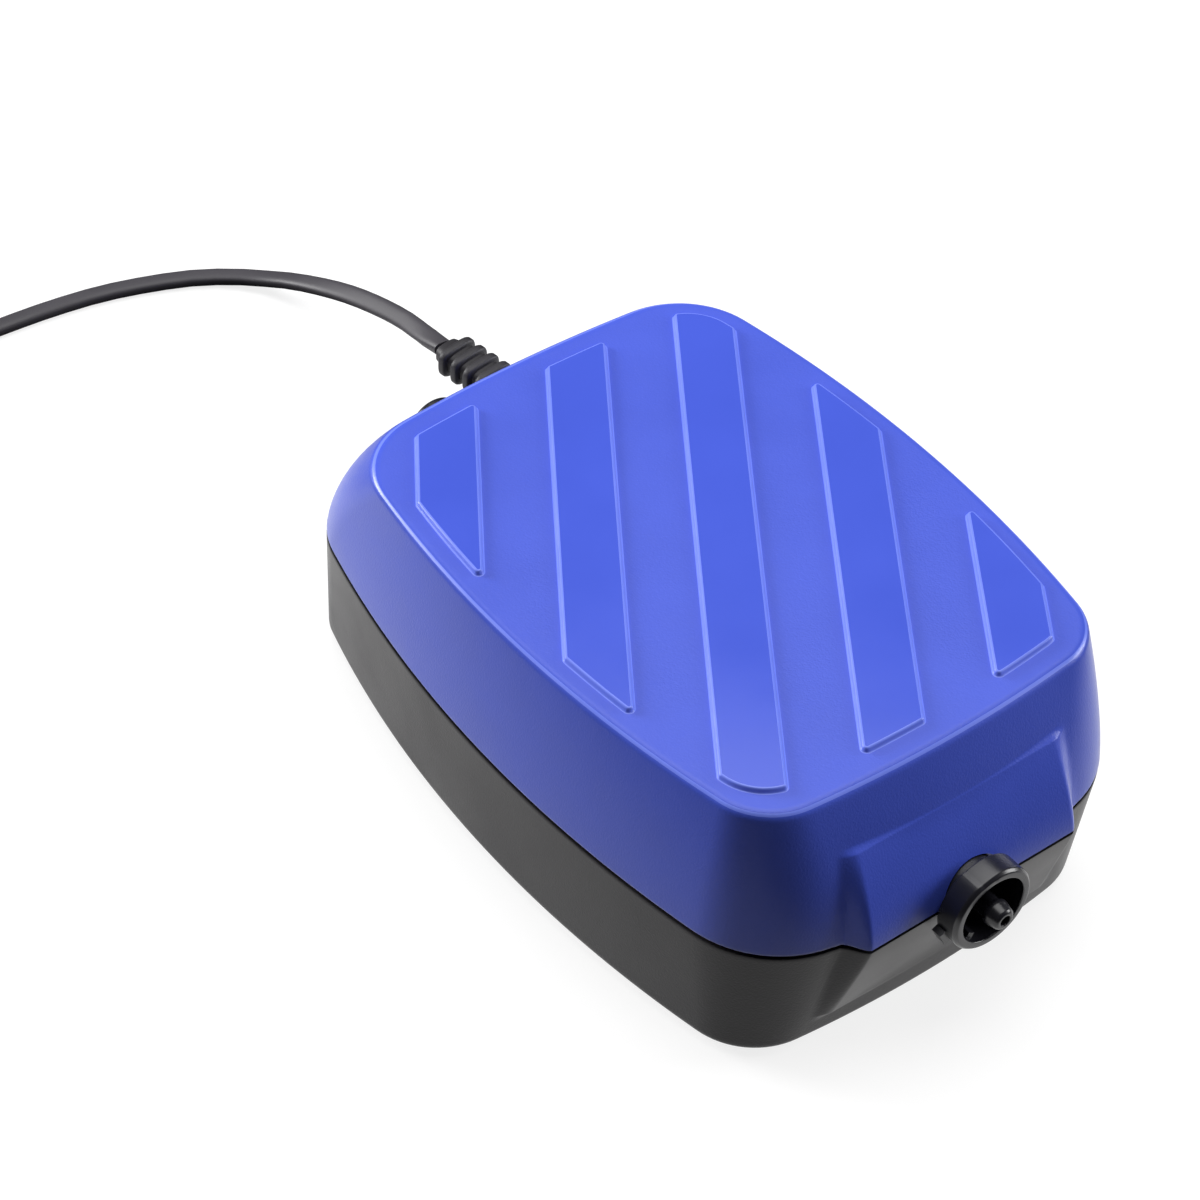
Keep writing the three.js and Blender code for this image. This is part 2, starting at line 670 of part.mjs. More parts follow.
function headScrewHoles() {
  return HEAD_SCREWS.map(([y, z]) => circle(HEAD_SCREW + GAP, 10, y, z));
}

function headSquare() {
  return rectangle(-HEAD_HALF, HEAD_HALF, -HEAD_HALF, HEAD_HALF);
}

// Outlet chamber towards the front, inlet chamber towards the rear.
function chamberWindow(side) {
  const middle = side * CHAMBER_Y;
  const half = side < 0 ? 7 : 6.6;
  return rectangle(middle - CHAMBER_HALF, middle + CHAMBER_HALF, -half, half);
}

function addHeadPlate(name, outlineShape, holes, [x0, x1], material) {
  const body = closed(standing(plate(outlineShape, holes, x0, x1)));
  addPiece(name, body, material, 0, HEAD_Y, ARM_Z);
}

function makePumpHead() {
  const ringHole = circle(12.5, 24);
  addHeadPlate('clamp_ring', headSquare(), [ringHole, ...headScrewHoles()], CLAMP_RING, BLACK_ABS);
  const ports = [OUTLET_PORT, INLET_PORT].map((y) => circle(PORT_RADIUS, 12, y, 0));
  addHeadPlate('valve_plate', headSquare(), [...ports, ...headScrewHoles()], VALVE_PLATE, WHITE_NYLON);
  const windows = [chamberWindow(-1), chamberWindow(1)];
  addHeadPlate('head_gasket', headSquare(), [...windows, ...headScrewHoles()], HEAD_GASKET, BLACK_RUBBER);
  makeHeadCover();
  makeValveFlaps();
  HEAD_SCREWS.forEach(([y, z], i) => {
    const screw = turnedX(screwProfile(2.3, 1.6, HEAD_SCREW, 17.4), 12);
    addPiece(`head_screw_${i + 1}`, screw, STEEL, HEAD_SCREW_START, HEAD_Y + y, ARM_Z + z);
  });
}

function makeHeadCover() {
  const [x0, x1] = HEAD_BLOCK;
  const front = -HEAD_HALF;
  const block = toSolid(box(x0, x1, front, HEAD_HALF, -HEAD_HALF, HEAD_HALF));
  const chambers = [-CHAMBER_Y, CHAMBER_Y].map((y) => (
    toSolid(box(x0 - 1, x0 + CHAMBER_DEPTH, y - CHAMBER_HALF, y + CHAMBER_HALF, -7, 7))
  ));
  const spigot = toSolid(turnedY(rod(HOSE_SPIGOT, front - 7, front + 1)).translate(SPIGOT_X, 0, 0));
  const outletBore = toSolid(turnedY(rod(1.2, front - 8, -CHAMBER_Y), 12).translate(SPIGOT_X, 0, 0));
  const inletBore = toSolid(turnedZ(rod(2, 0, HEAD_HALF + 1), 12).translate(SPIGOT_X, CHAMBER_Y, 0));
  const pilots = HEAD_SCREWS.map(([y, z]) => (
    toSolid(turnedX(rod(HEAD_SCREW + GAP, x0 - 1, x0 + 8), 10).translate(0, y, z))
  ));
  const body = cutFrom(joined(block, spigot), ...chambers, outletBore, inletBore, ...pilots);
  addPiece('head_cover', toGeometry(body), BLACK_ABS, 0, HEAD_Y, ARM_Z);
}

// Rubber flaps: the outlet flap opens away from the diaphragm, the inlet flap towards it.
function makeValveFlaps() {
  const flaps = { outlet_flap: OUTLET_FLAP, inlet_flap: INLET_FLAP };
  Object.entries(flaps).forEach(([name, { x0, x1, from, to }]) => {
    const body = closed(box(x0, x1, from, to, -FLAP_HALF, FLAP_HALF));
    addPiece(name, body, BLACK_RUBBER, 0, HEAD_Y, ARM_Z);
  });
}

// ---------------------------------------------------------------- diaphragm and arm

function makeDiaphragm() {
  const rimBack = CLAMP_RING[1] + GAP;
  const rimFront = VALVE_PLATE[0] - GAP;
  const profile = [
    [PLATE_BORE, -3.4], [7, -3.4], [8.4, -2.6], [9.2, -0.6], [10, 5.6], [10.8, rimBack],
    [DIAPHRAGM_RIM, rimBack], [DIAPHRAGM_RIM, rimFront], [10, rimFront], [9.2, 7.4], [8, -0.2],
    [7.4, -1.4], [6.6, -1.9], [PLATE_BORE, -1.9], [PLATE_BORE, -3.4],
  ];
  addPiece('diaphragm', turnedX(profile, 20), BLACK_RUBBER, 0, HEAD_Y, ARM_Z);
  const backPlate = turnedX(sleeve(PLATE_BORE, PLATE_RADIUS, -5.2, -3.7));
  addPiece('diaphragm_back_plate', backPlate, WHITE_NYLON, 0, HEAD_Y, ARM_Z);
  const frontPlate = turnedX(sleeve(PLATE_BORE, PLATE_RADIUS, -1.6, -0.1));
  addPiece('diaphragm_front_plate', frontPlate, WHITE_NYLON, 0, HEAD_Y, ARM_Z);
  const nut = turnedX(sleeve(PLATE_BORE, 3.1, 0.2, 2.4), 6);
  addPiece('diaphragm_nut', nut, STEEL, 0, HEAD_Y, ARM_Z);
  const screw = turnedX(screwProfile(2.9, 1.8, PIN_RADIUS, 16), 12);
  addPiece('diaphragm_screw', screw, STEEL, ARM_X - 2.5 - GAP - 1.8, HEAD_Y, ARM_Z);
}

function makeArm() {
  const half = STACK / 2;
  const bar = joined(
    toSolid(box(-2.5, 2.5, PIVOT_Y, 8.5, -half, half)),
    upright(0, PIVOT_Y, 4.5, -half, half),
    toSolid(box(-9, 9, 7, 9.4, -half, half)),
    toSolid(box(-9, -7.6, 8, 13, -half, half)),
    toSolid(box(7.6, 9, 8, 13, -half, half)),
  );
  const eye = upright(0, PIVOT_Y, PIN_RADIUS + GAP, -half - 1, half + 1, 16);
  const screwHole = toSolid(turnedX(rod(PLATE_BORE, -5, 5), 12).translate(0, HEAD_Y, 0));
  addPiece('swing_arm', toGeometry(cutFrom(bar, eye, screwHole)), WHITE_NYLON, ARM_X, 0, ARM_Z);
  const magnet = closed(box(-7.3, 7.3, 9.7, 15.7, -half, half));
  addPiece('arm_magnet', magnet, MAGNET_FERRITE, ARM_X, 0, ARM_Z);
  addPiece('arm_pin', turnedZ(rod(PIN_RADIUS, 8.4, 33), 16), STEEL, ARM_X, PIVOT_Y, 0);
}

// ---------------------------------------------------------------- electromagnet

function makeCore() {
  const half = CORE_HALF;
  const inner = half - OUTER_LEG;
  const leg = CENTRE_LEG / 2;
  const corners = [
    [-half, POLE_Y], [-inner, POLE_Y], [-inner, YOKE_Y], [-leg, YOKE_Y],
    [-leg, POLE_Y], [leg, POLE_Y], [leg, YOKE_Y], [inner, YOKE_Y],
    [inner, POLE_Y], [half, POLE_Y], [half, CORE_BACK], [-half, CORE_BACK],
  ];
  const holes = [-CORE_SCREW_X, CORE_SCREW_X].map((x) => circle(1.9, 12, x, CORE_SCREW_Y));
  const shape = new THREE.Shape(corners.map(([x, y]) => new THREE.Vector2(x, y)));
  addPiece('core', closed(plate(shape, holes, -STACK / 2, STACK / 2)), CORE_STEEL, ARM_X, 0, ARM_Z);
  [-CORE_SCREW_X, CORE_SCREW_X].forEach((dx, i) => {
    const screw = turnedZ(screwProfile(3, 1.8, PIN_RADIUS, 22), 12).rotateX(Math.PI);
    const headTop = ARM_Z + STACK / 2 + GAP + 1.8;
    addPiece(`core_screw_${i + 1}`, closed(screw), STEEL, ARM_X + dx, CORE_SCREW_Y, headTop);
  });
}

// A square tube around the centre leg; its outline lies in (X, Z) and it runs along Y.
function legSleeve(halfX, halfZ, innerX, innerZ, y0, y1) {
  const shape = rectangle(-halfX, halfX, -halfZ, halfZ);
  shape.holes.push(rectangle(-innerX, innerX, -innerZ, innerZ));
  const geometry = new THREE.ExtrudeGeometry(shape, { depth: y1 - y0, bevelEnabled: false });
  return geometry.rotateX(Math.PI / 2).translate(0, y1, 0);
}

function makeCoil() {
  const innerX = CENTRE_LEG / 2 + GAP;
  const innerZ = STACK / 2 + GAP;
  const tubeX = innerX + BOBBIN_WALL;
  const tubeZ = innerZ + BOBBIN_WALL;
  const flangeX = CORE_HALF - OUTER_LEG - GAP;
  const flangeZ = COIL_HALF_Z + 1;
  const front = POLE_Y + 1.5;
  const back = YOKE_Y - GAP;
  const bobbin = joined(
    toSolid(legSleeve(tubeX, tubeZ, innerX, innerZ, front, back)),
    toSolid(legSleeve(flangeX, flangeZ, innerX, innerZ, front, front + BOBBIN_WALL)),
    toSolid(legSleeve(flangeX, flangeZ, innerX, innerZ, back - BOBBIN_WALL, back)),
    toSolid(box(-9, -5, back - BOBBIN_WALL, back, flangeZ - 1, flangeZ + 3)),
    toSolid(box(5, 9, back - BOBBIN_WALL, back, flangeZ - 1, flangeZ + 3)),
  );
  addPiece('bobbin', toGeometry(bobbin), WHITE_NYLON, ARM_X, 0, ARM_Z);
  const windingFront = front + BOBBIN_WALL + GAP;
  const windingBack = back - BOBBIN_WALL - GAP;
  const winding = legSleeve(
    COIL_HALF_X, COIL_HALF_Z, tubeX + GAP, tubeZ + GAP, windingFront, windingBack,
  );
  addPiece('coil', closed(winding), COPPER, ARM_X, 0, ARM_Z);
}

function makeLeads() {
  const sleeveZ = ARM_Z + COIL_HALF_Z + 6.2;
  const leads = [
    { name: 'lead_live', x: -7, side: -1.4, material: BROWN_PVC },
    { name: 'lead_neutral', x: 7, side: 1.4, material: BLUE_PVC },
  ];
  leads.forEach(({ name, x, side, material }) => {
    const endX = ARM_X + x;
    const route = [
      [endX, 33, sleeveZ], [endX, 38, sleeveZ], [endX + 0.5, 43, sleeveZ - 0.6],
      [(endX + RELIEF_X) / 2, 51, 36], [RELIEF_X + side, 56.5, 29],
      [RELIEF_X + side, RELIEF_START - 2 * GAP, REAR_Z],
    ];
    addPiece(name, tube(route, 0.9, 6, 12), material);
    const crimp = turnedY(sleeve(1.2, 1.9, 0, 6), 10);
    addPiece(`${name}_sleeve`, crimp, WHITE_NYLON, endX, 30.4, sleeveZ);
  });
}

// ---------------------------------------------------------------- rear fittings

// A round neck through the case wall, then a flat ribbed sleeve that leans with the cord.
function makeStrainRelief() {
  const flange = [RELIEF_FLANGE, RELIEF_FLANGE];
  const neck = [RELIEF_NECK, RELIEF_NECK];
  const sleeve = [[RELIEF_BEND_Y - 0.3, VALLEY_HALF]];
  for (let i = 0; i < RIB_COUNT; i += 1) {
    const y = RIB_START + i * RIB_PITCH;
    sleeve.push([y - 1, VALLEY_HALF], [y - 0.8, RIB_HALF], [y + 0.8, RIB_HALF], [y + 1, VALLEY_HALF]);
  }
  sleeve.push([RELIEF_END - 1.5, SLEEVE_SHOULDER], [RELIEF_END, SLEEVE_TIP]);
  const round = [
    [RELIEF_START, flange], [RELIEF_FLANGE_END, flange],
    [RELIEF_FLANGE_END + 0.1, neck], [RELIEF_NECK_END, neck],
  ];
  const rings = [
    ...round.map(([y, half]) => reliefRing(y, roundedSection(...half, 1))),
    ...sleeve.map(([y, half]) => reliefRing(y, roundedSection(...half, SLEEVE_SQUARENESS))),
  ];
  addPiece('strain_relief', closed(swept(rings)), BLACK_PVC);
}

// The section at a station along the relief: straight up to the bend, then leaning.
function reliefRing(y, points) {
  const leaning = new THREE.Vector3(-Math.sin(RELIEF_LEAN), Math.cos(RELIEF_LEAN), 0);
  const past = Math.max(0, y - RELIEF_BEND_Y);
  const centre = new THREE.Vector3(RELIEF_X, y - past, REAR_Z).addScaledVector(leaning, past);
  return { centre, along: past > 0 ? leaning : new THREE.Vector3(0, 1, 0), points };
}

function makeIntakeCap() {
  const catchRadius = INTAKE_NECK + 0.5;
  const profile = [
    [INTAKE_BORE, 62.8], [catchRadius, 62.8], [catchRadius, 64.2], [INTAKE_NECK, 64.3],
    [INTAKE_NECK, 69.5], [INTAKE_CAP, 69.5], [INTAKE_CAP, 72.2], [INTAKE_CAP - 0.7, 72.9],
    [INTAKE_HOLE, 72.9], [INTAKE_HOLE, 70.4], [INTAKE_BORE, 70.4], [INTAKE_BORE, 62.8],
  ];
  addPiece('intake_cap', turnedY(profile, 18), GLOSS_BLACK, INTAKE_X, 0, REAR_Z);
  const felt = turnedY(rod(INTAKE_BORE - GAP, 63.2, 70.1), 16);
  addPiece('intake_felt', felt, FELT, INTAKE_X, 0, REAR_Z);
}

// ---------------------------------------------------------------- cord and plug

function makeCord() {
  const corners = CORD_ROUTE.map((p) => new THREE.Vector3(...p));
  const path = new THREE.CatmullRomCurve3(corners, false, 'centripetal');
  const stations = levels(0, 1, CORD_STEPS).map((share) => ({
    centre: path.getPointAt(share),
    along: path.getTangentAt(share),
    points: roundedSection(...CORD_HALF, CORD_SQUARENESS, 12),
  }));
  addPiece('mains_cord', closed(swept(stations)), BLACK_PVC);
  const bevel = 2.5;
  const ring = [
    [RING_INNER, bevel], [RING_INNER + bevel, 0],
    [RING_OUTER - bevel, 0], [RING_OUTER, bevel],
    [RING_OUTER, RING_HEIGHT - bevel], [RING_OUTER - bevel, RING_HEIGHT],
    [RING_INNER + bevel, RING_HEIGHT], [RING_INNER, RING_HEIGHT - bevel],
    [RING_INNER, bevel],
  ];
  addPiece('cord_coil', turnedZ(ring, 24), BLACK_PVC, ...COIL_CENTRE);
}

function makePlug() {
  const sections = [
    [PLUG_FACE_Y, 12, 5.6], [PLUG_FACE_Y + 8, 12.4, 6.2], [PLUG_BACK_Y - 4, 10.5, 6],
    [PLUG_BACK_Y, 5.5, 4.6], [PLUG_BACK_Y + 4, 3.6, 3.4], [PLUG_NECK_Y, 2.8, 2.8],
  ];
  const rings = sections.map(([y, halfX, halfZ]) => ({ z: -y, points: roundedSection(halfX, halfZ) }));
  const body = toSolid(lofted(rings.reverse()).rotateX(Math.PI / 2));
  const slots = [-1, 1].map((side) => {
    const x = (side * BLADE_PITCH) / 2;
    const halfX = BLADE.halfThick + GAP;
    const halfZ = BLADE.halfWide + GAP;
    return toSolid(box(x - halfX, x + halfX, PLUG_FACE_Y - 1, PLUG_FACE_Y + 5, -halfZ, halfZ));
  });
  addPiece('plug', toGeometry(cutFrom(body, ...slots)), BLACK_PVC, PLUG_X, 0, PLUG_Z);
  ['plug_blade_left', 'plug_blade_right'].forEach((name, i) => {
    const x = (i - 0.5) * BLADE_PITCH;
    const { halfThick, halfWide, reach, root } = BLADE;
    const blade = box(
      x - halfThick, x + halfThick, PLUG_FACE_Y - reach, PLUG_FACE_Y + root, -halfWide, halfWide,
    );
    addPiece(name, closed(blade), BRASS, PLUG_X, 0, PLUG_Z);
  });
}

// An outline between an ellipse and a rectangle.
function roundedSection(halfX, halfZ, squareness = 0.7, count = 20) {
  return Array.from({ length: count }, (_, i) => {
    const angle = (2 * Math.PI * i) / count;
    const cos = Math.cos(angle);
    const sin = Math.sin(angle);
    const x = Math.sign(cos) * halfX * Math.abs(cos) ** squareness;
    return new THREE.Vector2(x, Math.sign(sin) * halfZ * Math.abs(sin) ** squareness);
  });
}

// ---------------------------------------------------------------- assembly

makeCover();
makeBase();
makeFeet();
makeCaseScrews();
makeFlowKnob();
makeNozzle();
makeHose();
makePumpHead();
makeDiaphragm();
makeArm();
makeCore();
makeCoil();
makeLeads();
makeStrainRelief();
makeIntakeCap();
makeCord();
makePlug();

export default pump;
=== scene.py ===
"""Looks of an aquarium air pump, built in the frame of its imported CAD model.

Shapes are worked out in the case's own millimetres and placed in the row frame, in metres.
Outlet at -Y, mains cord at +Y, feet on z = 0.
"""

import json
import math

import bmesh
import bpy
import numpy as np
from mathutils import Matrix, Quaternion, Vector


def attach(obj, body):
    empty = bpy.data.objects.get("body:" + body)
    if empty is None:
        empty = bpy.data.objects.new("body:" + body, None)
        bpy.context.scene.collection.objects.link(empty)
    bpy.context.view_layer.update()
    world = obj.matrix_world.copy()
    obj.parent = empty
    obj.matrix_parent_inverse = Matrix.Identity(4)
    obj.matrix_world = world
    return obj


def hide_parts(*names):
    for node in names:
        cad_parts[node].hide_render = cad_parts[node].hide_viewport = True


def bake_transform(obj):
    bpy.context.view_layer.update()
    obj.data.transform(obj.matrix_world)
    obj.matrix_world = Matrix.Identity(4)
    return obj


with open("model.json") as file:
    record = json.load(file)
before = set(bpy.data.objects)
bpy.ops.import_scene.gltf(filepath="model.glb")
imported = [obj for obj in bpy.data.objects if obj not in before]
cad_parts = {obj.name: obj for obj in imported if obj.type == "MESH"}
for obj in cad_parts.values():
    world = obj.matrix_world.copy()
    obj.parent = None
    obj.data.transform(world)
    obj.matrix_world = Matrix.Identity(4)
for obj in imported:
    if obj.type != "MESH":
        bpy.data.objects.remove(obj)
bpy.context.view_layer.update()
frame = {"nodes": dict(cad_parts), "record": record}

# ---------------------------------------------------------------- driving dimensions

MM = 0.001
CASE_Y = 2.8  # the case's middle stands here in the row frame

# Case outlines. side, front and back are half sizes, the *_arc values are the radii of the bulged
# sides and ends, the *_corner values round the corners, side_mid is where a side is widest.
RIM = dict(side=42.5, front=61.1, back=51.3, side_arc=242, front_arc=256, back_arc=313,
           front_corner=11.9, back_corner=16, side_mid=-2.4)
PARTING = dict(side=45.8, front=68.5, back=68.6, side_arc=244, front_arc=212, back_arc=208,
               front_corner=19.9, back_corner=17.1, side_mid=-8)
UNDERSIDE = dict(side=43.9, front=63.7, back=69, side_arc=239, front_arc=235, back_arc=230,
                 front_corner=13.8, back_corner=10, side_mid=-6.4)
# The raised bands on the top end along this outline.
FIELD = dict(side=38.7, front=56.4, back=46.6, side_arc=238, front_arc=252, back_arc=309,
             front_corner=9.3, back_corner=9.7, side_mid=-4)

CASE_BOTTOM = 1.6
CASE_TOP = 55.6
PARTING_Z = 28.15
BASE_TOP = 27.8
COVER_BOTTOM = 28.5
COVER_FLARE = 1.4
RIM_ROUND = 1.5
RIM_LINE = (3, 4)  # the steps of the rounded rim that get the painted highlight, as the bands' edges do
UNDERSIDE_ROUND = 1.8
EDGE_ROUND = 0.35
COVER_WALL = 2.2
BASE_WALL = 2.6
FLOOR_TOP = 4.1
LIP_OUTSIDE = 2.5
LIP_INSIDE = 3.7
LIP_TOP = 30.6

BAND_COUNT = 5
BAND_WIDTH = 10.6
BAND_PITCH = 22.85
BAND_SHIFT = 3.4
BAND_ANGLE = math.radians(-35)
BAND_CORNER = 0.85  # fillet radius in plan
BAND_SPACING = 2.5  # longest mesh edge along a band's outline
# The rounded edge of a raised band, as (inset, height).
BAND_PROFILE = [(-0.28, 0), (-0.12, 0.02), (-0.03, 0.12), (0.04, 0.3), (0.12, 0.58), (0.2, 0.74),
                (0.34, 0.86), (0.55, 0.9)]

BOSS_FRONT = -70.9
BOSS_HALF = 21.5
COVER_BOSS_TOP = 45
COVER_BOSS_SLOPE = 6.3
BOSS_LEDGE = 1.5  # how fast the boss falls back above its top edge
BASE_BOSS_BOTTOM = 8
BASE_BOSS_SLOPE = 6.4
BOSS_SIDE = 3.9  # width of the hollow step at each side of the boss
BOSS_SIDE_CURVE = 1.2  # over 1, the step is broader at its foot than at its top
BOSS_EDGE = 0.6  # how softly the boss's ends meet the case
COVER_BOSS_CURVE = 1.47  # how the bosses' faces curve away from the parting line
BASE_BOSS_CURVE = 1.1

OUTLET_Z = 27.9
OUTLET_HOLE = 6.9
KNOB_RADIUS = 8.17
KNOB_CUP = 6.45
KNOB_FACE = -75.7
KNOB_BACK = -71.2
KNOB_NECK = 6.6
# The knob's surface sinks between these angles, by this depth, and ends in a small ledge.
LEDGE_START = math.radians(74)
LEDGE_END = math.radians(114)
LEDGE_DEPTH = 0.22
# One lug outside and two ribs in the cup, as (degrees, inner, outer, front, back, half width).
KNOB_LUGS = [
    (206, 7.4, 9.2, KNOB_BACK - 2, KNOB_BACK, 1.6),
    (238, 5.5, 6.9, KNOB_FACE + 1.4, -68.6, 0.7),
    (58, 5.5, 6.9, KNOB_FACE + 1.4, -68.6, 0.7),
]
NOZZLE_TIP = -78.5
REAR_Z = 28
RELIEF_HOLE = 4.3
INTAKE_HOLE = 3.7
REAR_WALL = (55, 80)  # the rear holes are cut between these stations
RELIEF_X = 13
INTAKE_X = -3
RELIEF_END = 87.7
RELIEF_BEND_Y = 71
RELIEF_LEAN = math.radians(8)
RIB_COUNT = 5
RIB_START = 72
RIB_PITCH = 3.15
RIB_HALF = (4.2, 3)
VALLEY_HALF = (3.3, 2.1)
RIB_SQUARENESS = 0.55
RIB_PROFILE = [  # (distance from the rib's middle, share of the rib's height)
    (-0.98, 0.0), (-0.86, 0.5), (-0.72, 0.84), (-0.45, 1.0),
    (0.45, 1.0), (0.72, 0.84), (0.86, 0.5), (0.98, 0.0),
]
RELIEF_NECK = [  # (Y, radius)
    (61.2, 5.2), (61.4, 5.6), (62.8, 5.6), (63, 5.3), (63.1, 4), (69.8, 4), (70.1, 3.8),
]
RELIEF_TIP = [(1.5, 2.9, 1.9), (0.3, 2.6, 1.75), (0, 2.3, 1.5)]  # (before the end, half sizes)
TIP_SQUARENESS = 0.6

HEAD_Y = -12
HEAD_Z = 24
DIAPHRAGM_PROFILE = [  # (radius, X)
    (1.8, -3.4), (7, -3.4), (8.4, -2.6), (9.2, -0.6), (10, 5.6), (10.8, 7.7), (15, 7.7), (15, 9.2),
    (10, 9.2), (9.2, 7.4), (8, -0.2), (7.4, -1.4), (6.6, -1.9), (1.8, -1.9), (1.8, -3.4),
]

POSTS = [(-31.5, -48), (31.5, -48), (-29.5, 46), (29.5, 46)]
POST_RADIUS = 4
POST_BORE = 1.9
POST_BORE_TOP = 42
SCREW_HEAD_HOLE = 3.2
SCREW_HEAD_HOLE_TOP = 8
SCREW_BOTTOM = 5.4
FEET = [(-30, -36), (30, -36), (-30, 34), (30, 34)]
FOOT_HOLE = 2.5
CORNER_NAMES = ["front_left", "front_right", "rear_left", "rear_right"]

CORD_HALF = (1.9, 1.2)  # a flat twin cord: half width and half thickness
CORD_ROUTE = [
    (10.6, 87.9, 28), (10.7, 90.4, 27.5), (11.4, 95, 26), (12.6, 101.3, 23.8),
    (13.7, 107.5, 21.2), (14.6, 113.5, 18.5), (15.3, 119.5, 15.8), (15.8, 126, 12.8),
    (15.9, 132, 10), (15.5, 138, 7.3), (14.4, 143.7, 5), (12.4, 149, 3), (9.3, 153.9, 1.7),
    (5.2, 157.6, 1.25), (0, 160.6, 1.25), (-5.8, 163, 1.25), (-12, 165.2, 1.25),
    (-18.2, 166.8, 1.25), (-24.6, 167.9, 1.25), (-31, 168.7, 1.25), (-37.5, 169.2, 1.25),
    (-48, 170.3, 1.25), (-60, 171.2, 1.25), (-70, 171.7, 1.25), (-80, 172, 1.25),
]
CORD_SQUARENESS = 0.72
CORD_STEPS = 36  # centreline points of the route, before the coil
# In the air the flat cord twists a little: in over TWIST_IN, and back over TWIST_OUT to TWIST_END.
CORD_TWIST = math.radians(42)
TWIST_IN = 10
TWIST_OUT = 45
TWIST_END = 72
COIL_CENTRE = (-96, 147.5)
# The coil's turns take these places in its section one after another, as (radius, height).
COIL_PLACES = [
    (24.5, 1.25), (20.7, 1.25), (20.7, 3.65), (20.7, 6.1),
    (20.7, 8.55), (24.5, 8.55), (24.5, 6.1), (24.5, 3.65), (28.8, 5.2),
]
COIL_POINTS = 24  # centreline points per turn
COIL_JOG = 0.18  # the share of a turn over which a strand moves to its next place
TAIL_RADIUS = 30
TIE_ANGLE = math.radians(300)  # where the tie holds the coil
TIE_RADIUS = 22.6
TIE_MIDDLE_Z = 4.95
TIE_BOX = (-4.2, 4.2, -4.85, 5.1)  # inside the tie: left, right, bottom, top
TIE_THICKNESS = 0.45
TIE_HALF_WIDTH = 1.5
PLUG_X = -126
PLUG_NECK_Y = 139
PLUG_FACE_Y = 103
PLUG_Z = 6.5
PLUG_SQUARENESS = 0.62  # 0 is a rectangle, 1 an ellipse, which the neck comes to
PLUG_STATIONS = [  # (distance from the face, half width, half height)
    (0, 10.6, 4.6), (0.3, 11.3, 5.1), (1, 11.9, 5.5), (4, 12.2, 6), (9, 12.3, 6.2),
    (14, 11.9, 6.1), (18, 10.9, 5.9), (21, 9.1, 5.5), (23, 7, 5), (25, 5, 4.4),
    (28, 3.9, 3.7), (32, 3.2, 3.1), (36, 2.8, 2.8),
]
GROOVE_DEPTH = 0.35
GROOVE_PITCH = 1.2
BLADE_PITCH = 12.7
BLADE_HALF = 3.17
BLADE_FRONT = -16.5  # from the plug's face
BLADE_BACK = 4.7
BLADE_HOLE = 1.6
BLADE_EDGE = [(-0.75, 0.25), (-0.55, 0), (0.55, 0), (0.75, 0.25)]  # (across, inset)
SLOT_CLEARANCE = 0.3
SLOT_HALF = 1.05
SLOT_DEPTH = 5

# The camera's place round its target, in case millimetres.
CAMERA_TARGET = (-1.31, 25.02, 19.16)
CAMERA_AZIMUTH = -39.36
CAMERA_ELEVATION = 43.99
CAMERA_ROLL = 2.22
CAMERA_DISTANCE = 684.4
CAMERA_LENS = 116.8

PLAIN_SPECULAR = 0.5
CASE_SPECULAR = 0.16  # the base's fine grain reflects little
SHEEN_ROUGHNESS = 0.25
# Painted highlight: the bands' rounded edges and a line along the rim are coloured a lighter blue than
# the flat plastic, in place of the light they catch.
PAINTED_HIGHLIGHT_DARK = (0.13, 0.19, 0.74)
PAINTED_HIGHLIGHT_LIGHT = (0.15, 0.21, 0.78)
# The darkest plastics are shown in these shares of the record's colour.
COLOUR_SHARES = {"gloss_black": 2.4, "black_abs": 0.8}
RELIEF_SHARES = (0.42, 0.52)  # the strain relief is darker than the cord

# Studio lights in metres and watts: a large soft one overhead and one to each side.
WORLD_LIGHT = 0.05
FLOOR_GLOW = 0.8
NEAR_FLOOR = 125  # half size in millimetres of the floor that surfaces reflect
LIGHT_TARGET = (0, 0, 0.03)
LIGHTS = [
    ("overhead", (0.14, 0.17, 0.98), 1.06, 10.7),
    ("left_side", (-0.5, 0.94, 0.32), 0.5, 14),
    ("right_side", (0.85, -0.42, 0.28), 0.5, 6.2),
]


# ---------------------------------------------------------------- mesh tools

def place(points):
    """Case millimetres to the row frame's metres."""
    return (np.asarray(points, float) + (0, CASE_Y, 0)) * MM


def smooth_step(t):
    t = min(1.0, max(0.0, t))
    return t * t * (3 - 2 * t)


def finish_mesh(piece, sharp_degrees=42):
    """Smooth shading that keeps real edges crisp and flat faces flat."""
    mesh = piece.data
    mesh.shade_smooth()
    mesh.set_sharp_from_angle(angle=math.radians(sharp_degrees))
    weighted = piece.modifiers.new("normals", "WEIGHTED_NORMAL")
    weighted.keep_sharp = True


def raw_piece(name, points, faces, marks=None):
    """A mesh object from case millimetres; marks gives each face its material index."""
    mesh = bpy.data.meshes.new(name)
    mesh.from_pydata(place(points).tolist(), [], faces)
    if marks is not None:
        mesh.polygons.foreach_set("material_index", marks)
    bm = bmesh.new()
    bm.from_mesh(mesh)
    bmesh.ops.recalc_face_normals(bm, faces=bm.faces)
    bm.to_mesh(mesh)
    bm.free()
    piece = bpy.data.objects.new(name, mesh)
    bpy.context.scene.collection.objects.link(piece)
    return piece


def paint(piece, materials):
    """Adds the materials, unless the piece has some: then its faces have chosen among them."""
    if not piece.data.materials:
        for material in materials:
            piece.data.materials.append(material)


def dress(piece, materials, body, slot, *nodes):
    """Materials, body and the CAD nodes that the piece stands for; slot is not used."""
    paint(piece, materials)
    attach(piece, body)
    if nodes:
        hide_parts(*nodes)
    return piece


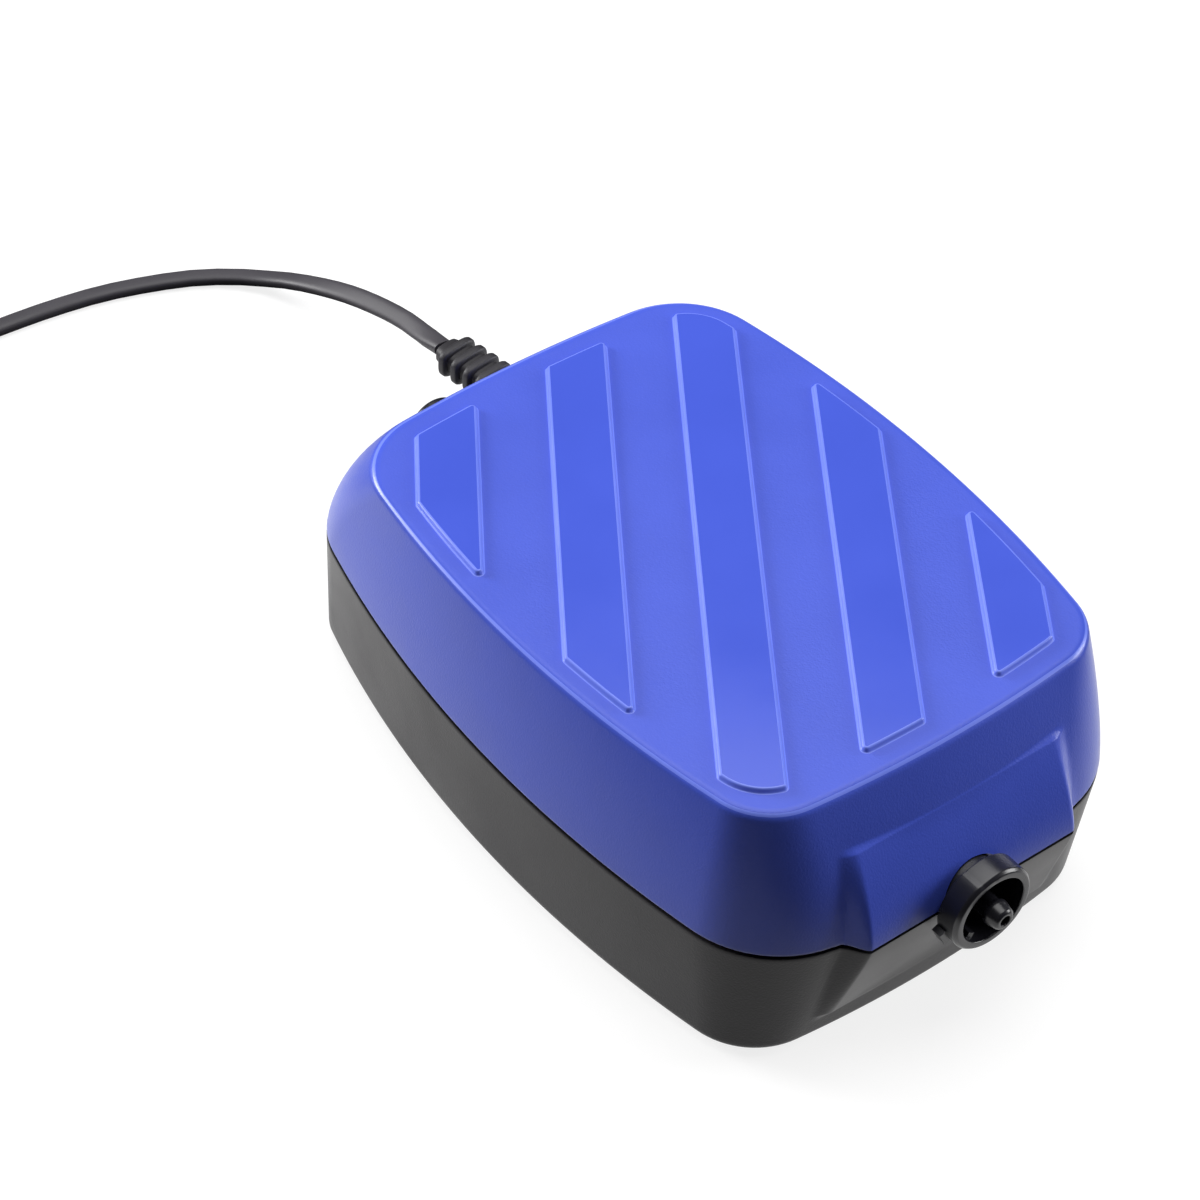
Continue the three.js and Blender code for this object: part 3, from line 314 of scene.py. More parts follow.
def boolean(piece, other, operation):
    """Joins or cuts other's solid and removes it."""
    modifier = piece.modifiers.new("boolean", "BOOLEAN")
    modifier.operation = operation
    modifier.solver = "EXACT"
    modifier.object = other
    bpy.context.view_layer.update()
    graph = bpy.context.evaluated_depsgraph_get()
    result = bpy.data.meshes.new_from_object(piece.evaluated_get(graph))
    piece.modifiers.clear()
    piece.data = result
    bpy.data.objects.remove(other)


class Build:
    """Points and faces that are collected before one mesh is made of them."""

    def __init__(self):
        self.points = []
        self.faces = []
        self.marks = []

    def ring(self, ring):
        start = len(self.points)
        self.points.extend(np.asarray(ring, float).tolist())
        return list(range(start, start + len(ring)))

    def face(self, corners, mark=0):
        self.faces.append(tuple(corners))
        self.marks.append(mark)

    def strip(self, lower, upper, mark=0):
        count = len(lower)
        for i in range(count):
            j = (i + 1) % count
            self.face((lower[i], lower[j], upper[j], upper[i]), mark)

    def loft(self, rings):
        """Joins rings of equal counts and returns each ring's indices."""
        loops = [self.ring(ring) for ring in rings]
        for lower, upper in zip(loops, loops[1:]):
            self.strip(lower, upper)
        return loops

    def piece(self, name):
        return raw_piece(name, self.points, self.faces, self.marks)


def softened(profile, radius, steps=4, closed=False):
    """Rounds each corner of a profile by up to radius, with curves of the given steps."""
    points = [np.array(p, float) for p in profile]
    if closed:
        points = points[:-1]
    result = []
    for i, here in enumerate(points):
        if not closed and i in (0, len(points) - 1):
            result.append(here)
            continue
        before = points[i - 1] - here
        after = points[(i + 1) % len(points)] - here
        reach = min(radius, 0.45 * np.linalg.norm(before), 0.45 * np.linalg.norm(after))
        start = here + before / np.linalg.norm(before) * reach
        end = here + after / np.linalg.norm(after) * reach
        for t in np.linspace(0, 1, steps + 1):
            result.append((1 - t) ** 2 * start + 2 * t * (1 - t) * here + t * t * end)
    if closed:
        result.append(result[0])
    return result


def turned(build, profile, centre, axis="Y", segments=64, radius_at=None):
    """A turned solid: profile points are (radius, station along the axis)."""
    angles = np.linspace(0, 2 * math.pi, segments, endpoint=False)
    loops = []
    for radius, station in profile:
        reach = np.full(segments, float(radius))
        if radius_at is not None:
            reach = np.array([radius_at(radius, a) for a in angles])
        across = reach * np.cos(angles)
        up = reach * np.sin(angles)
        along = np.full(segments, float(station))
        columns = {"X": (along, across, up), "Y": (across, along, up), "Z": (across, up, along)}[axis]
        ring = np.stack(columns, 1) + np.array(centre, float)
        loops.append(build.ring(ring[:1]) if radius < 1e-6 else build.ring(ring))
    for lower, upper in zip(loops, loops[1:]):
        if len(lower) == 1 and len(upper) == 1:
            continue
        if len(lower) == 1 or len(upper) == 1:
            pole, ring = (lower[0], upper) if len(lower) == 1 else (upper[0], lower)
            for i in range(segments):
                build.face((pole, ring[i], ring[(i + 1) % segments]))
        else:
            build.strip(lower, upper)
    return build


def turned_piece(name, profile, centre, axis="Y", segments=64, round_by=0.25, radius_at=None):
    """One turned piece with softened edges; a profile that ends where it starts is a ring."""
    is_ring = tuple(profile[0]) == tuple(profile[-1])
    soft = softened(profile, round_by, closed=is_ring)
    build = turned(Build(), soft, centre, axis, segments, radius_at)
    piece = build.piece(name)
    if is_ring:
        weld(piece)
    return piece


def weld(piece):
    bm = bmesh.new()
    bm.from_mesh(piece.data)
    bmesh.ops.remove_doubles(bm, verts=bm.verts, dist=1e-7)
    bmesh.ops.recalc_face_normals(bm, faces=bm.faces)
    bm.to_mesh(piece.data)
    bm.free()


def rods(name, places, radius, start, end, axis="Z", segments=32):
    """Plain cylinders used as boolean tools."""
    build = Build()
    for centre in places:
        turned(build, [(0, start), (radius, start), (radius, end), (0, end)], centre, axis, segments)
    return build.piece(name)


def box_tool(name, boxes):
    """Plain boxes used as boolean tools, each (low corner, high corner)."""
    build = Build()
    for (x0, y0, z0), (x1, y1, z1) in boxes:
        build.loft([[(x0, y0, z), (x1, y0, z), (x1, y1, z), (x0, y1, z)] for z in (z0, z1)])
        start = len(build.points) - 8
        build.face((start + 3, start + 2, start + 1, start))
        build.face((start + 4, start + 5, start + 6, start + 7))
    return build.piece(name)


# ---------------------------------------------------------------- case outlines

# Where points lie along each arc: close together where the boss's sides come.
END_SHARES = np.concatenate([
    np.linspace(0, 0.62, 12)[:-1], np.linspace(0.62, 0.95, 30)[:-1], np.linspace(0.95, 1, 3),
])
CORNER_SHARES = np.linspace(0, 1, 17)
SIDE_SHARES = np.linspace(0, 1, 25)


def circle_crossing(c1, r1, c2, r2, towards):
    between = c2 - c1
    distance = np.linalg.norm(between)
    along = (r1 * r1 - r2 * r2 + distance * distance) / (2 * distance)
    across = math.sqrt(r1 * r1 - along * along)
    unit = between / distance
    foot = c1 + unit * along
    normal = np.array([-unit[1], unit[0]])
    first, second = foot + normal * across, foot - normal * across
    return first if first @ towards > second @ towards else second


def arc_points(centre, radius, start, end, shares):
    angles = start + (end - start) * shares
    return centre + radius * np.stack([np.cos(angles), np.sin(angles)], 1)


def quarter_outline(shape, end_name, inset):
    """From the middle of one end to the widest point of the +X side."""
    end = -1 if end_name == "front" else 1
    end_arc = shape[end_name + "_arc"]
    corner = shape[end_name + "_corner"]
    side_arc = shape["side_arc"]
    end_centre = np.array([0, end * (shape[end_name] - end_arc)])
    side_centre = np.array([shape["side"] - side_arc, shape["side_mid"]])
    towards = np.array([1, end * 0.5])
    corner_centre = circle_crossing(
        end_centre, end_arc - corner, side_centre, side_arc - corner, towards)
    end_angle = math.atan2(*(corner_centre - end_centre)[::-1])
    side_angle = math.atan2(*(corner_centre - side_centre)[::-1])
    middle = end * math.pi / 2
    return np.concatenate([
        arc_points(end_centre, end_arc - inset, middle, end_angle, END_SHARES),
        arc_points(corner_centre, corner - inset, end_angle, side_angle, CORNER_SHARES)[1:],
        arc_points(side_centre, side_arc - inset, side_angle, 0, SIDE_SHARES)[1:],
    ])


def outline(shape, inset=0.0):
    """The whole outline, counter-clockwise from the middle of the front."""
    front = quarter_outline(shape, "front", inset)
    back = quarter_outline(shape, "back", inset)
    right = np.concatenate([front, back[::-1][1:]])
    left = right[1:-1][::-1] * (-1, 1)
    return np.concatenate([right, left])


def at_height(flat, z):
    return np.column_stack([flat, np.full(len(flat), float(z))])


def cover_section(z, inset=0.0):
    rise = max(0.0, (z - PARTING_Z) / (CASE_TOP - PARTING_Z)) ** COVER_FLARE
    return (1 - rise) * outline(PARTING, inset) + rise * outline(RIM, inset)


def base_section(z, inset=0.0):
    drop = (PARTING_Z - z) / (PARTING_Z - CASE_BOTTOM)
    return (1 - drop) * outline(PARTING, inset) + drop * outline(UNDERSIDE, inset)


def smooth_min(a, b, reach):
    mix = np.clip(0.5 + 0.5 * (b - a) / reach, 0, 1)
    return b * (1 - mix) + a * mix - reach * mix * (1 - mix)


def with_boss(flat, front, half):
    """Pushes the front of an outline out to the boss's face, with a rounded step at each side."""
    result = flat.copy()
    is_front = flat[:, 1] < 0
    step = np.clip((half + BOSS_SIDE - np.abs(flat[:, 0])) / BOSS_SIDE, 0, 1)
    weight = (step * step * (3 - 2 * step)) ** BOSS_SIDE_CURVE * is_front
    pushed = smooth_min(flat[:, 1], np.full(len(flat), front), BOSS_EDGE)
    result[:, 1] += (pushed - flat[:, 1]) * weight
    return result


def cover_boss(z):
    """The boss's front and half width; above its top edge it falls back steeply to the case."""
    share = np.clip((z - COVER_BOTTOM) / (COVER_BOSS_TOP - COVER_BOTTOM), 0, 1)
    above = max(0.0, z - COVER_BOSS_TOP)
    front = BOSS_FRONT + COVER_BOSS_SLOPE * share ** COVER_BOSS_CURVE + BOSS_LEDGE * above
    return front, BOSS_HALF - share


def base_boss(z):
    """The boss's front and half width; below its lower edge it runs back to the case."""
    share = np.clip((BASE_TOP - z) / (BASE_TOP - BASE_BOSS_BOTTOM), 0, 1)
    below = max(0.0, BASE_BOSS_BOTTOM - z)
    return BOSS_FRONT + BASE_BOSS_SLOPE * share ** BASE_BOSS_CURVE + below, BOSS_HALF + share


def rounded_edge(wall, edge, flat, steps=8):
    """Rings of a rounded edge from the wall's ring through the sharp edge to the flat's ring."""
    rings = []
    for t in np.linspace(0, 1, steps + 1):
        rings.append((1 - t) ** 2 * wall + 2 * t * (1 - t) * edge + t * t * flat)
    return rings


# ---------------------------------------------------------------- cover

def clipped(polygon, normal, limit):
    """Keeps the part of a convex polygon where point . normal <= limit."""
    kept = []
    for i, here in enumerate(polygon):
        following = polygon[(i + 1) % len(polygon)]
        a, b = here @ normal - limit, following @ normal - limit
        if a <= 0:
            kept.append(here)
        if a * b < 0:
            kept.append(here + (following - here) * a / (a - b))
    return np.array(kept)


def round_corners(polygon, radius, steps=8):
    """Fillets the corners of a closed outline that turn by more than about 17 degrees."""
    count = len(polygon)
    edges = np.roll(polygon, -1, 0) - polygon
    lengths = np.linalg.norm(edges, axis=1)
    starts = np.concatenate([[0], np.cumsum(lengths)])
    total = starts[-1]
    headings = np.arctan2(edges[:, 1], edges[:, 0])
    turns = (headings - np.roll(headings, 1) + math.pi) % (2 * math.pi) - math.pi
    reaches = {i: radius * math.tan(abs(turns[i]) / 2) for i in range(count) if abs(turns[i]) > 0.3}
    looped = np.vstack([polygon, polygon[:1]])

    def at(distance):
        distance %= total
        return np.array([np.interp(distance, starts, looped[:, k]) for k in (0, 1)])

    def near_corner(distance):
        return any(abs((distance - starts[i] + total / 2) % total - total / 2) < reach + 0.05
                   for i, reach in reaches.items())

    marked = [(starts[i], [polygon[i]]) for i in range(count) if not near_corner(starts[i])]
    for i, reach in reaches.items():
        before, after = at(starts[i] - reach), at(starts[i] + reach)
        pull = math.cos(turns[i] / 2)
        curve = []
        for t in np.linspace(0, 1, steps + 1):
            weights = np.array([(1 - t) ** 2, 2 * t * (1 - t) * pull, t * t])
            curve.append(weights @ [before, polygon[i], after] / weights.sum())
        marked.append((starts[i], curve))
    marked.sort(key=lambda item: item[0])
    return np.array([p for _, points in marked for p in points])


def spaced(polygon, reach):
    """Splits a closed outline's long edges into pieces no longer than reach."""
    points = []
    for here, following in zip(polygon, np.roll(polygon, -1, 0)):
        steps = max(1, math.ceil(np.linalg.norm(following - here) / reach))
        points.extend(here + (following - here) * i / steps for i in range(steps))
    return np.array(points)


def band_outlines():
    across = np.array([math.cos(BAND_ANGLE), math.sin(BAND_ANGLE)])
    field = outline(FIELD)
    outlines = []
    for i in range(BAND_COUNT):
        middle = BAND_SHIFT + (i - (BAND_COUNT - 1) / 2) * BAND_PITCH
        lower = clipped(field, across, middle + BAND_WIDTH / 2)
        strip = clipped(lower, -across, BAND_WIDTH / 2 - middle)
        outlines.append(round_corners(spaced(strip, BAND_SPACING), BAND_CORNER))
    return outlines


def inset_loop(loop, inset):
    """Moves a counter-clockwise loop inwards along its corner normals."""
    following = np.roll(loop, -1, 0) - loop
    before = loop - np.roll(loop, 1, 0)
    following /= np.linalg.norm(following, axis=1)[:, None]
    before /= np.linalg.norm(before, axis=1)[:, None]
    along = following + before
    along /= np.linalg.norm(along, axis=1)[:, None]
    inwards = np.stack([-along[:, 1], along[:, 0]], 1)
    return loop + inwards * inset


def fill_top(build, outer, holes):
    """Fills the flat top between the rim and the feet of the bands."""
    bm = bmesh.new()
    edges = []
    for loop in [outer, *holes]:
        verts = [bm.verts.new(build.points[i]) for i in loop]
        pairs = zip(verts, verts[1:] + verts[:1])
        edges.extend(bm.edges.new(pair) for pair in pairs)
    order = [i for loop in [outer, *holes] for i in loop]
    bm.verts.index_update()
    filled = bmesh.ops.triangle_fill(bm, edges=edges, use_beauty=True, normal=(0, 0, 1))
    for item in filled["geom"]:
        if isinstance(item, bmesh.types.BMFace):
            build.face([order[v.index] for v in item.verts])
    bm.free()


# The cover's third material is a painted highlight for the bands' edges and the rim line.
def make_cover(ground, band, painted_highlight):
    build = Build()
    ceiling = CASE_TOP - COVER_WALL
    inside = [at_height(cover_section(z, COVER_WALL), z)
              for z in np.linspace(ceiling, COVER_BOTTOM, 8)]
    foot = []
    for inset, rise in ((EDGE_ROUND, 0), (0.1, 0.1), (0, EDGE_ROUND)):
        z = COVER_BOTTOM + rise
        foot.append(at_height(with_boss(cover_section(z, inset), *cover_boss(z)), z))
    wall_top = CASE_TOP - RIM_ROUND
    heights = [*np.linspace(29.2, 44.4, 34), *np.linspace(44.7, 46.4, 14),
               *np.linspace(47, wall_top, 12)]
    wall = [at_height(with_boss(cover_section(z), *cover_boss(z)), z) for z in heights]
    edge = at_height(outline(RIM), CASE_TOP)
    top = at_height(outline(RIM, RIM_ROUND), CASE_TOP)
    loops = build.loft([*inside, *foot, *wall])
    build.face(loops[0])
    rim = [loops[-1], *(build.ring(ring) for ring in rounded_edge(wall[-1], edge, top)[1:])]
    # The rim's steps in RIM_LINE get material 2, the painted highlight.
    for step, (lower, upper) in enumerate(zip(rim, rim[1:])):
        build.strip(lower, upper, 2 if step in RIM_LINE else 0)

    feet = []
    for flat in band_outlines():
        rings = [build.ring(at_height(inset_loop(flat, inset), CASE_TOP + height))
                 for inset, height in BAND_PROFILE]
        # The bands' rounded edges get material 2, the painted highlight.
        for lower, upper in zip(rings, rings[1:]):
            build.strip(lower, upper, 2)
        build.face(rings[-1], 1)
        feet.append(rings[0])
    fill_top(build, rim[-1], feet)

    cover = build.piece("cover_shell")
    paint(cover, [ground, band, painted_highlight])
    posts = [(x, y, 0) for x, y in POSTS]
    columns = rods("tool", posts, POST_RADIUS, COVER_BOTTOM, ceiling + 1)
    boolean(columns, cover_core(), "INTERSECT")
    boolean(cover, columns, "UNION")
    boolean(cover, rods("tool", posts, POST_BORE, COVER_BOTTOM - 1, POST_BORE_TOP), "DIFFERENCE")
    cut_ends(cover)
    finish_mesh(cover)
    return dress(cover, [ground, band, painted_highlight], "case", "blue_abs", "cover")


def cover_core():
    """A solid that ends inside the cover's wall, to trim the posts where the wall leans in."""
    build = Build()
    heights = np.linspace(COVER_BOTTOM, CASE_TOP - 1, 9)
    loops = build.loft([at_height(cover_section(z, COVER_WALL / 2), z) for z in heights])
    build.face(loops[0])
    build.face(loops[-1])
    return build.piece("tool")


def cut_ends(piece):
    """The holes that the parting line splits: outlet, strain relief and air intake."""
    boolean(piece, rods("tool", [(0, 0, OUTLET_Z)], OUTLET_HOLE, -80, -58, "Y", 64), "DIFFERENCE")
    for x, radius in ((RELIEF_X, RELIEF_HOLE), (INTAKE_X, INTAKE_HOLE)):
        boolean(piece, rods("tool", [(x, 0, REAR_Z)], radius, *REAR_WALL, "Y", 48), "DIFFERENCE")


# ---------------------------------------------------------------- base

def make_base(material):
    build = Build()
    wall_bottom = CASE_BOTTOM + UNDERSIDE_ROUND
    heights = [*np.linspace(wall_bottom, 5.5, 4), *np.linspace(6, 8.6, 12),
               *np.linspace(9, BASE_TOP - EDGE_ROUND, 36)]
    wall = [at_height(with_boss(base_section(z), *base_boss(z)), z) for z in heights]
    flat = at_height(outline(UNDERSIDE, UNDERSIDE_ROUND), CASE_BOTTOM)
    edge = at_height(outline(UNDERSIDE), CASE_BOTTOM)
    under = rounded_edge(wall[0], edge, flat)[1:][::-1]
    shoulder = []
    for inset, drop in ((0.1, 0.1), (EDGE_ROUND, 0)):
        z = BASE_TOP - drop
        shoulder.append(at_height(with_boss(base_section(z, inset), *base_boss(z)), z))
    lip = [
        at_height(cover_section(BASE_TOP, LIP_OUTSIDE), BASE_TOP),
        at_height(cover_section(LIP_TOP, LIP_OUTSIDE), LIP_TOP - 0.3),
        at_height(cover_section(LIP_TOP, LIP_OUTSIDE + 0.3), LIP_TOP),
        at_height(cover_section(LIP_TOP, LIP_INSIDE), LIP_TOP),
        at_height(cover_section(24, LIP_INSIDE), 24),
        at_height(base_section(23.5, BASE_WALL), 23.5),
        at_height(base_section(FLOOR_TOP, BASE_WALL), FLOOR_TOP),
    ]
    loops = build.loft([*under, *wall, *shoulder, *lip])
    build.face(loops[0])
    build.face(loops[-1])

    base = build.piece("base_shell")
    posts = [(x, y, 0) for x, y in POSTS]
    boolean(base, rods("tool", posts, POST_RADIUS, FLOOR_TOP - 1, BASE_TOP), "UNION")
    boolean(base, rods("tool", posts, SCREW_HEAD_HOLE, -1, SCREW_HEAD_HOLE_TOP), "DIFFERENCE")
    boolean(base, rods("tool", posts, POST_BORE, -1, 60), "DIFFERENCE")
    feet = [(x, y, 0) for x, y in FEET]
    boolean(base, rods("tool", feet, FOOT_HOLE, -1, 6), "DIFFERENCE")
    cut_ends(base)
    finish_mesh(base)
    return dress(base, [material], "case", "black_abs", "base")


def make_feet(material):
    profile = [(0, 0), (5.2, 0), (6, 1.3), (2.2, 1.3), (2.2, 4.4), (3.3, 4.4), (1.6, 6.4), (0, 6.4)]
    for (x, y), corner in zip(FEET, CORNER_NAMES):
        name = f"foot_{corner}"
        foot = turned_piece(name + "_rubber", profile, (x, y, 0), "Z", 40, 0.3)
        finish_mesh(foot)
        dress(foot, [material], "case", "foot_rubber", name)


def make_case_screws(material):
    profile = [(0, 0), (2.8, 0), (2.8, 2), (1.6, 2), (1.6, 33), (0.6, 34), (0, 34)]
    for (x, y), corner in zip(POSTS, CORNER_NAMES):
        name = f"case_screw_{corner}"
        screw = turned_piece(name + "_steel", profile, (x, y, SCREW_BOTTOM), "Z", 32, 0.5)
        for half_x, half_y in ((1.5, 0.28), (0.28, 1.5)):
            slot = box_tool("tool", [((x - half_x, y - half_y, 5), (x + half_x, y + half_y, 6.5))])
            boolean(screw, slot, "DIFFERENCE")
        finish_mesh(screw)
        dress(screw, [material], "case", "zinc_steel", name)


# ---------------------------------------------------------------- outlet

def knob_radius(radius, angle):
    """The knob's outer surface sinks a little towards one small ledge that runs along it."""
    if radius < KNOB_RADIUS - 0.7 or radius > KNOB_RADIUS + 0.01:
        return radius
    if not LEDGE_START < angle < LEDGE_END:
        return radius
    return radius - LEDGE_DEPTH * smooth_step((angle - LEDGE_START) / (LEDGE_END - LEDGE_START))


def make_knob(material):
    profile = [
        (KNOB_CUP, KNOB_FACE), (KNOB_RADIUS - 0.5, KNOB_FACE), (KNOB_RADIUS, KNOB_FACE + 0.6),
        (KNOB_RADIUS, KNOB_BACK), (KNOB_NECK, KNOB_BACK), (KNOB_NECK, -64.1), (8, -64.1),
        (8, -62.9), (3.3, -62.9), (3.3, -69), (KNOB_CUP, -69), (KNOB_CUP, KNOB_FACE),
    ]
    knob = turned_piece(
        "flow_knob_body", profile, (0, 0, OUTLET_Z), "Y", 128, 0.22, knob_radius)
    for degrees, *sizes in KNOB_LUGS:
        boolean(knob, radial_block(math.radians(degrees), *sizes), "UNION")
    finish_mesh(knob)
    return dress(knob, [material], "knob", "gloss_black", "flow_knob")


def radial_block(angle, inner, outer, front, back, half):
    """A block that stands out from the outlet's axis at an angle from +X towards +Z."""
    out = np.array([math.cos(angle), 0, math.sin(angle)])
    side = np.array([-math.sin(angle), 0, math.cos(angle)])
    build = Build()
    rings = []
    for y in (front, back):
        ring = []
        for reach, across in ((inner, -half), (outer, -half), (outer, half), (inner, half)):
            ring.append(out * reach + side * across + (0, y, OUTLET_Z))
        rings.append(ring)
    loops = build.loft(rings)
    build.face(loops[0])
    build.face(loops[1])
    return build.piece("tool")


def make_nozzle(material):
    profile = [
        (1, NOZZLE_TIP), (1.6, NOZZLE_TIP), (2, NOZZLE_TIP + 0.4), (2.45, NOZZLE_TIP + 2.2),
        (2.45, NOZZLE_TIP + 2.8), (1.95, NOZZLE_TIP + 3.3), (2.1, -70), (3, -70), (3, -62.6),
        (5, -62.6), (5, -61.4), (2.2, -61.4), (2.2, -55), (1, -55), (1, NOZZLE_TIP),
    ]
    nozzle = turned_piece("outlet_nozzle_body", profile, (0, 0, OUTLET_Z), "Y", 64, 0.2)
    finish_mesh(nozzle)
    return dress(nozzle, [material], "case", "gloss_black", "outlet_nozzle")


# ---------------------------------------------------------------- diaphragm

def make_diaphragm(material):
    """The rubber cup, whose rim stays in the head; its middle, which swings with the arm's plates in
    the pump, is built still here.
    """
    cup = turned_piece("diaphragm_cup", DIAPHRAGM_PROFILE, (0, HEAD_Y, HEAD_Z), "X", 64, 0.3)
    finish_mesh(cup)
    paint(cup, [material])
    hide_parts("diaphragm")
    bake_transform(cup)
    return cup


# ---------------------------------------------------------------- rear fittings

def squared_section(half_x, half_z, squareness, count=40):
    """A section between an ellipse and a rectangle, as (across, up) pairs."""
    angles = np.linspace(0, 2 * math.pi, count, endpoint=False)
    cos, sin = np.cos(angles), np.sin(angles)
    across = np.sign(cos) * half_x * np.abs(cos) ** squareness
    return np.column_stack([across, np.sign(sin) * half_z * np.abs(sin) ** squareness])


def section_ring(centre, along, section, twist=0.0):
    """A section standing across a direction, with its first axis level but for the twist."""
    side = np.cross(along, (0, 0, 1))
    side = side / np.linalg.norm(side)
    up = np.cross(side, along)
    across = side * math.cos(twist) + up * math.sin(twist)
    upwards = up * math.cos(twist) - side * math.sin(twist)
    return np.array(centre) + section[:, :1] * across + section[:, 1:] * upwards


def make_relief(material):
    """A round neck through the case wall, then a flat ribbed sleeve that leans with the cord."""
    stations = [(y, squared_section(radius, radius, 1)) for y, radius in RELIEF_NECK]
    profile = [(RELIEF_BEND_Y - 0.35, 0)]
    for i in range(RIB_COUNT):
        middle = RIB_START + RIB_PITCH * i
        profile.extend((middle + along, share) for along, share in RIB_PROFILE)
    for y, share in profile:
        half_x, half_z = (v + (r - v) * share for v, r in zip(VALLEY_HALF, RIB_HALF))
        stations.append((y, squared_section(half_x, half_z, RIB_SQUARENESS)))
    for before_end, half_x, half_z in RELIEF_TIP:
        tip = squared_section(half_x, half_z, TIP_SQUARENESS)
        stations.append((RELIEF_END - before_end, tip))
    leaning = np.array([-math.sin(RELIEF_LEAN), math.cos(RELIEF_LEAN), 0])
    rings = []
    for y, section in stations:
        past = max(0.0, y - RELIEF_BEND_Y)
        centre = np.array([RELIEF_X, y - past, REAR_Z]) + leaning * past
        rings.append(section_ring(centre, leaning if past else (0, 1, 0), section))
    build = Build()
    loops = build.loft(rings)
    build.face(loops[0])
    build.face(loops[-1])
    relief = build.piece("strain_relief_boot")
    finish_mesh(relief, 55)
    return dress(relief, [material], "case", "cord_pvc", "strain_relief")


def make_intake(material):
    profile = [
        (2.6, 62.8), (3.9, 62.8), (3.9, 64.2), (3.4, 64.3), (3.4, 69.5), (5.4, 69.5), (5.4, 72.2),
        (4.7, 72.9), (1, 72.9), (1, 70.4), (2.6, 70.4), (2.6, 62.8),
    ]
    cap = turned_piece("intake_cap_body", profile, (INTAKE_X, 0, REAR_Z), "Y", 56, 0.35)
    finish_mesh(cap)
    return dress(cap, [material], "case", "gloss_black", "intake_cap")


# ---------------------------------------------------------------- cord

def coil_place(turns):
    """Radius and height of the strand after so many turns from where the cord joins the coil."""
    turn = min(int(turns), len(COIL_PLACES) - 2)
    jog = smooth_step((turns - turn - (1 - COIL_JOG)) / COIL_JOG)
    here, following = np.array(COIL_PLACES[turn]), np.array(COIL_PLACES[turn + 1])
    return here + (following - here) * jog


def coil_point(turns, radius, height):
    angle = math.pi / 2 + 2 * math.pi * turns
    x = COIL_CENTRE[0] + radius * math.cos(angle)
    y = COIL_CENTRE[1] + radius * math.sin(angle)
    return (x, y, height)


def coil_points():
    """Turns of the coil, counter-clockwise from its +Y side, then a quarter turn out to the tail."""
    full = len(COIL_PLACES) - 1
    points = [coil_point(i / COIL_POINTS, *coil_place(i / COIL_POINTS))
              for i in range(full * COIL_POINTS + 1)]
    last_radius, last_height = COIL_PLACES[-1]
    quarter = COIL_POINTS // 4
    for i in range(1, quarter + 1):
        share = smooth_step(i / quarter)
        radius = last_radius + (TAIL_RADIUS - last_radius) * share
        height = last_height + (PLUG_Z - last_height) * share
        points.append(coil_point(full + i / COIL_POINTS, radius, height))
    return points


def smooth_path(knots, count):
    """Evenly spaced points of a smooth curve through the knots."""
    knots = np.array(knots, float)
    stops = np.concatenate([[0], np.cumsum(np.linalg.norm(np.diff(knots, axis=0), axis=1))])
    slopes = np.gradient(knots, stops, axis=0)
    fine = np.linspace(0, stops[-1], 40 * count)
    spans = np.clip(np.searchsorted(stops, fine, side="right") - 1, 0, len(knots) - 2)
    width = (stops[spans + 1] - stops[spans])[:, None]
    t = (fine - stops[spans])[:, None] / width
    curve = ((1 + 2 * t) * (1 - t) ** 2 * knots[spans] + t * (1 - t) ** 2 * width * slopes[spans]
             + t * t * (3 - 2 * t) * knots[spans + 1] + t * t * (t - 1) * width * slopes[spans + 1])
    run = np.concatenate([[0], np.cumsum(np.linalg.norm(np.diff(curve, axis=0), axis=1))])
    even = np.linspace(0, run[-1], count)
    return np.column_stack([np.interp(even, run, curve[:, k]) for k in range(3)])


def cord_points():
    coil = coil_points()
    route = smooth_path([*CORD_ROUTE, coil[0]], CORD_STEPS)[:-1]
    end = [(PLUG_X, (COIL_CENTRE[1] + PLUG_NECK_Y) / 2, PLUG_Z), (PLUG_X, PLUG_NECK_Y + 0.3, PLUG_Z)]
    return np.vstack([route, coil, end])


def make_cord(material):
    points = cord_points()
    section = squared_section(*CORD_HALF, CORD_SQUARENESS, 28)
    directions = np.gradient(points, axis=0)
    build = Build()
    travelled = np.concatenate([[0], np.cumsum(np.linalg.norm(np.diff(points, axis=0), axis=1))])
    rings = []
    for centre, along, run in zip(points, directions, travelled):
        lift = smooth_step(run / TWIST_IN) * smooth_step((TWIST_END - run) / TWIST_OUT)
        rings.append(section_ring(centre, along / np.linalg.norm(along), section, CORD_TWIST * lift))
    loops = build.loft(rings)
    build.face(loops[0])
    build.face(loops[-1])
    cord = build.piece("mains_cord_flex")
    finish_mesh(cord, 70)
    dress(cord, [material], "case", "cord_pvc", "mains_cord", "cord_coil")
    return cord


def make_tie(material):
    """A flat plastic band round the coil's turns."""
    out = np.array([math.cos(TIE_ANGLE), math.sin(TIE_ANGLE), 0])
    side = np.array([-math.sin(TIE_ANGLE), math.cos(TIE_ANGLE), 0])
    middle = np.array([*COIL_CENTRE, TIE_MIDDLE_Z]) + out * TIE_RADIUS
    left, right, bottom, top = TIE_BOX
    corners = [(left, bottom), (right, bottom), (right, top), (left, top), (left, bottom)]
    loop = softened(corners, 1.6, 6, True)
    build = Build()
    rings = []
    for radial, up in loop[:-1]:
        inner = np.array([radial, up])
        outer = inner * (1 + TIE_THICKNESS / np.linalg.norm(inner))
        ring = []
        for (r, z), across in ((inner, -1), (outer, -1), (outer, 1), (inner, 1)):
            above_floor = max(z, 0.02 - middle[2])
            ring.append(middle + out * r + side * across * TIE_HALF_WIDTH + (0, 0, above_floor))
        rings.append(ring)
    loops = [build.ring(ring) for ring in rings]
    for lower, upper in zip(loops, loops[1:] + loops[:1]):
        build.strip(lower, upper)
    tie = build.piece("cord_tie")
    finish_mesh(tie)
    return dress(tie, [material], "case", "cord_pvc")


# ---------------------------------------------------------------- plug

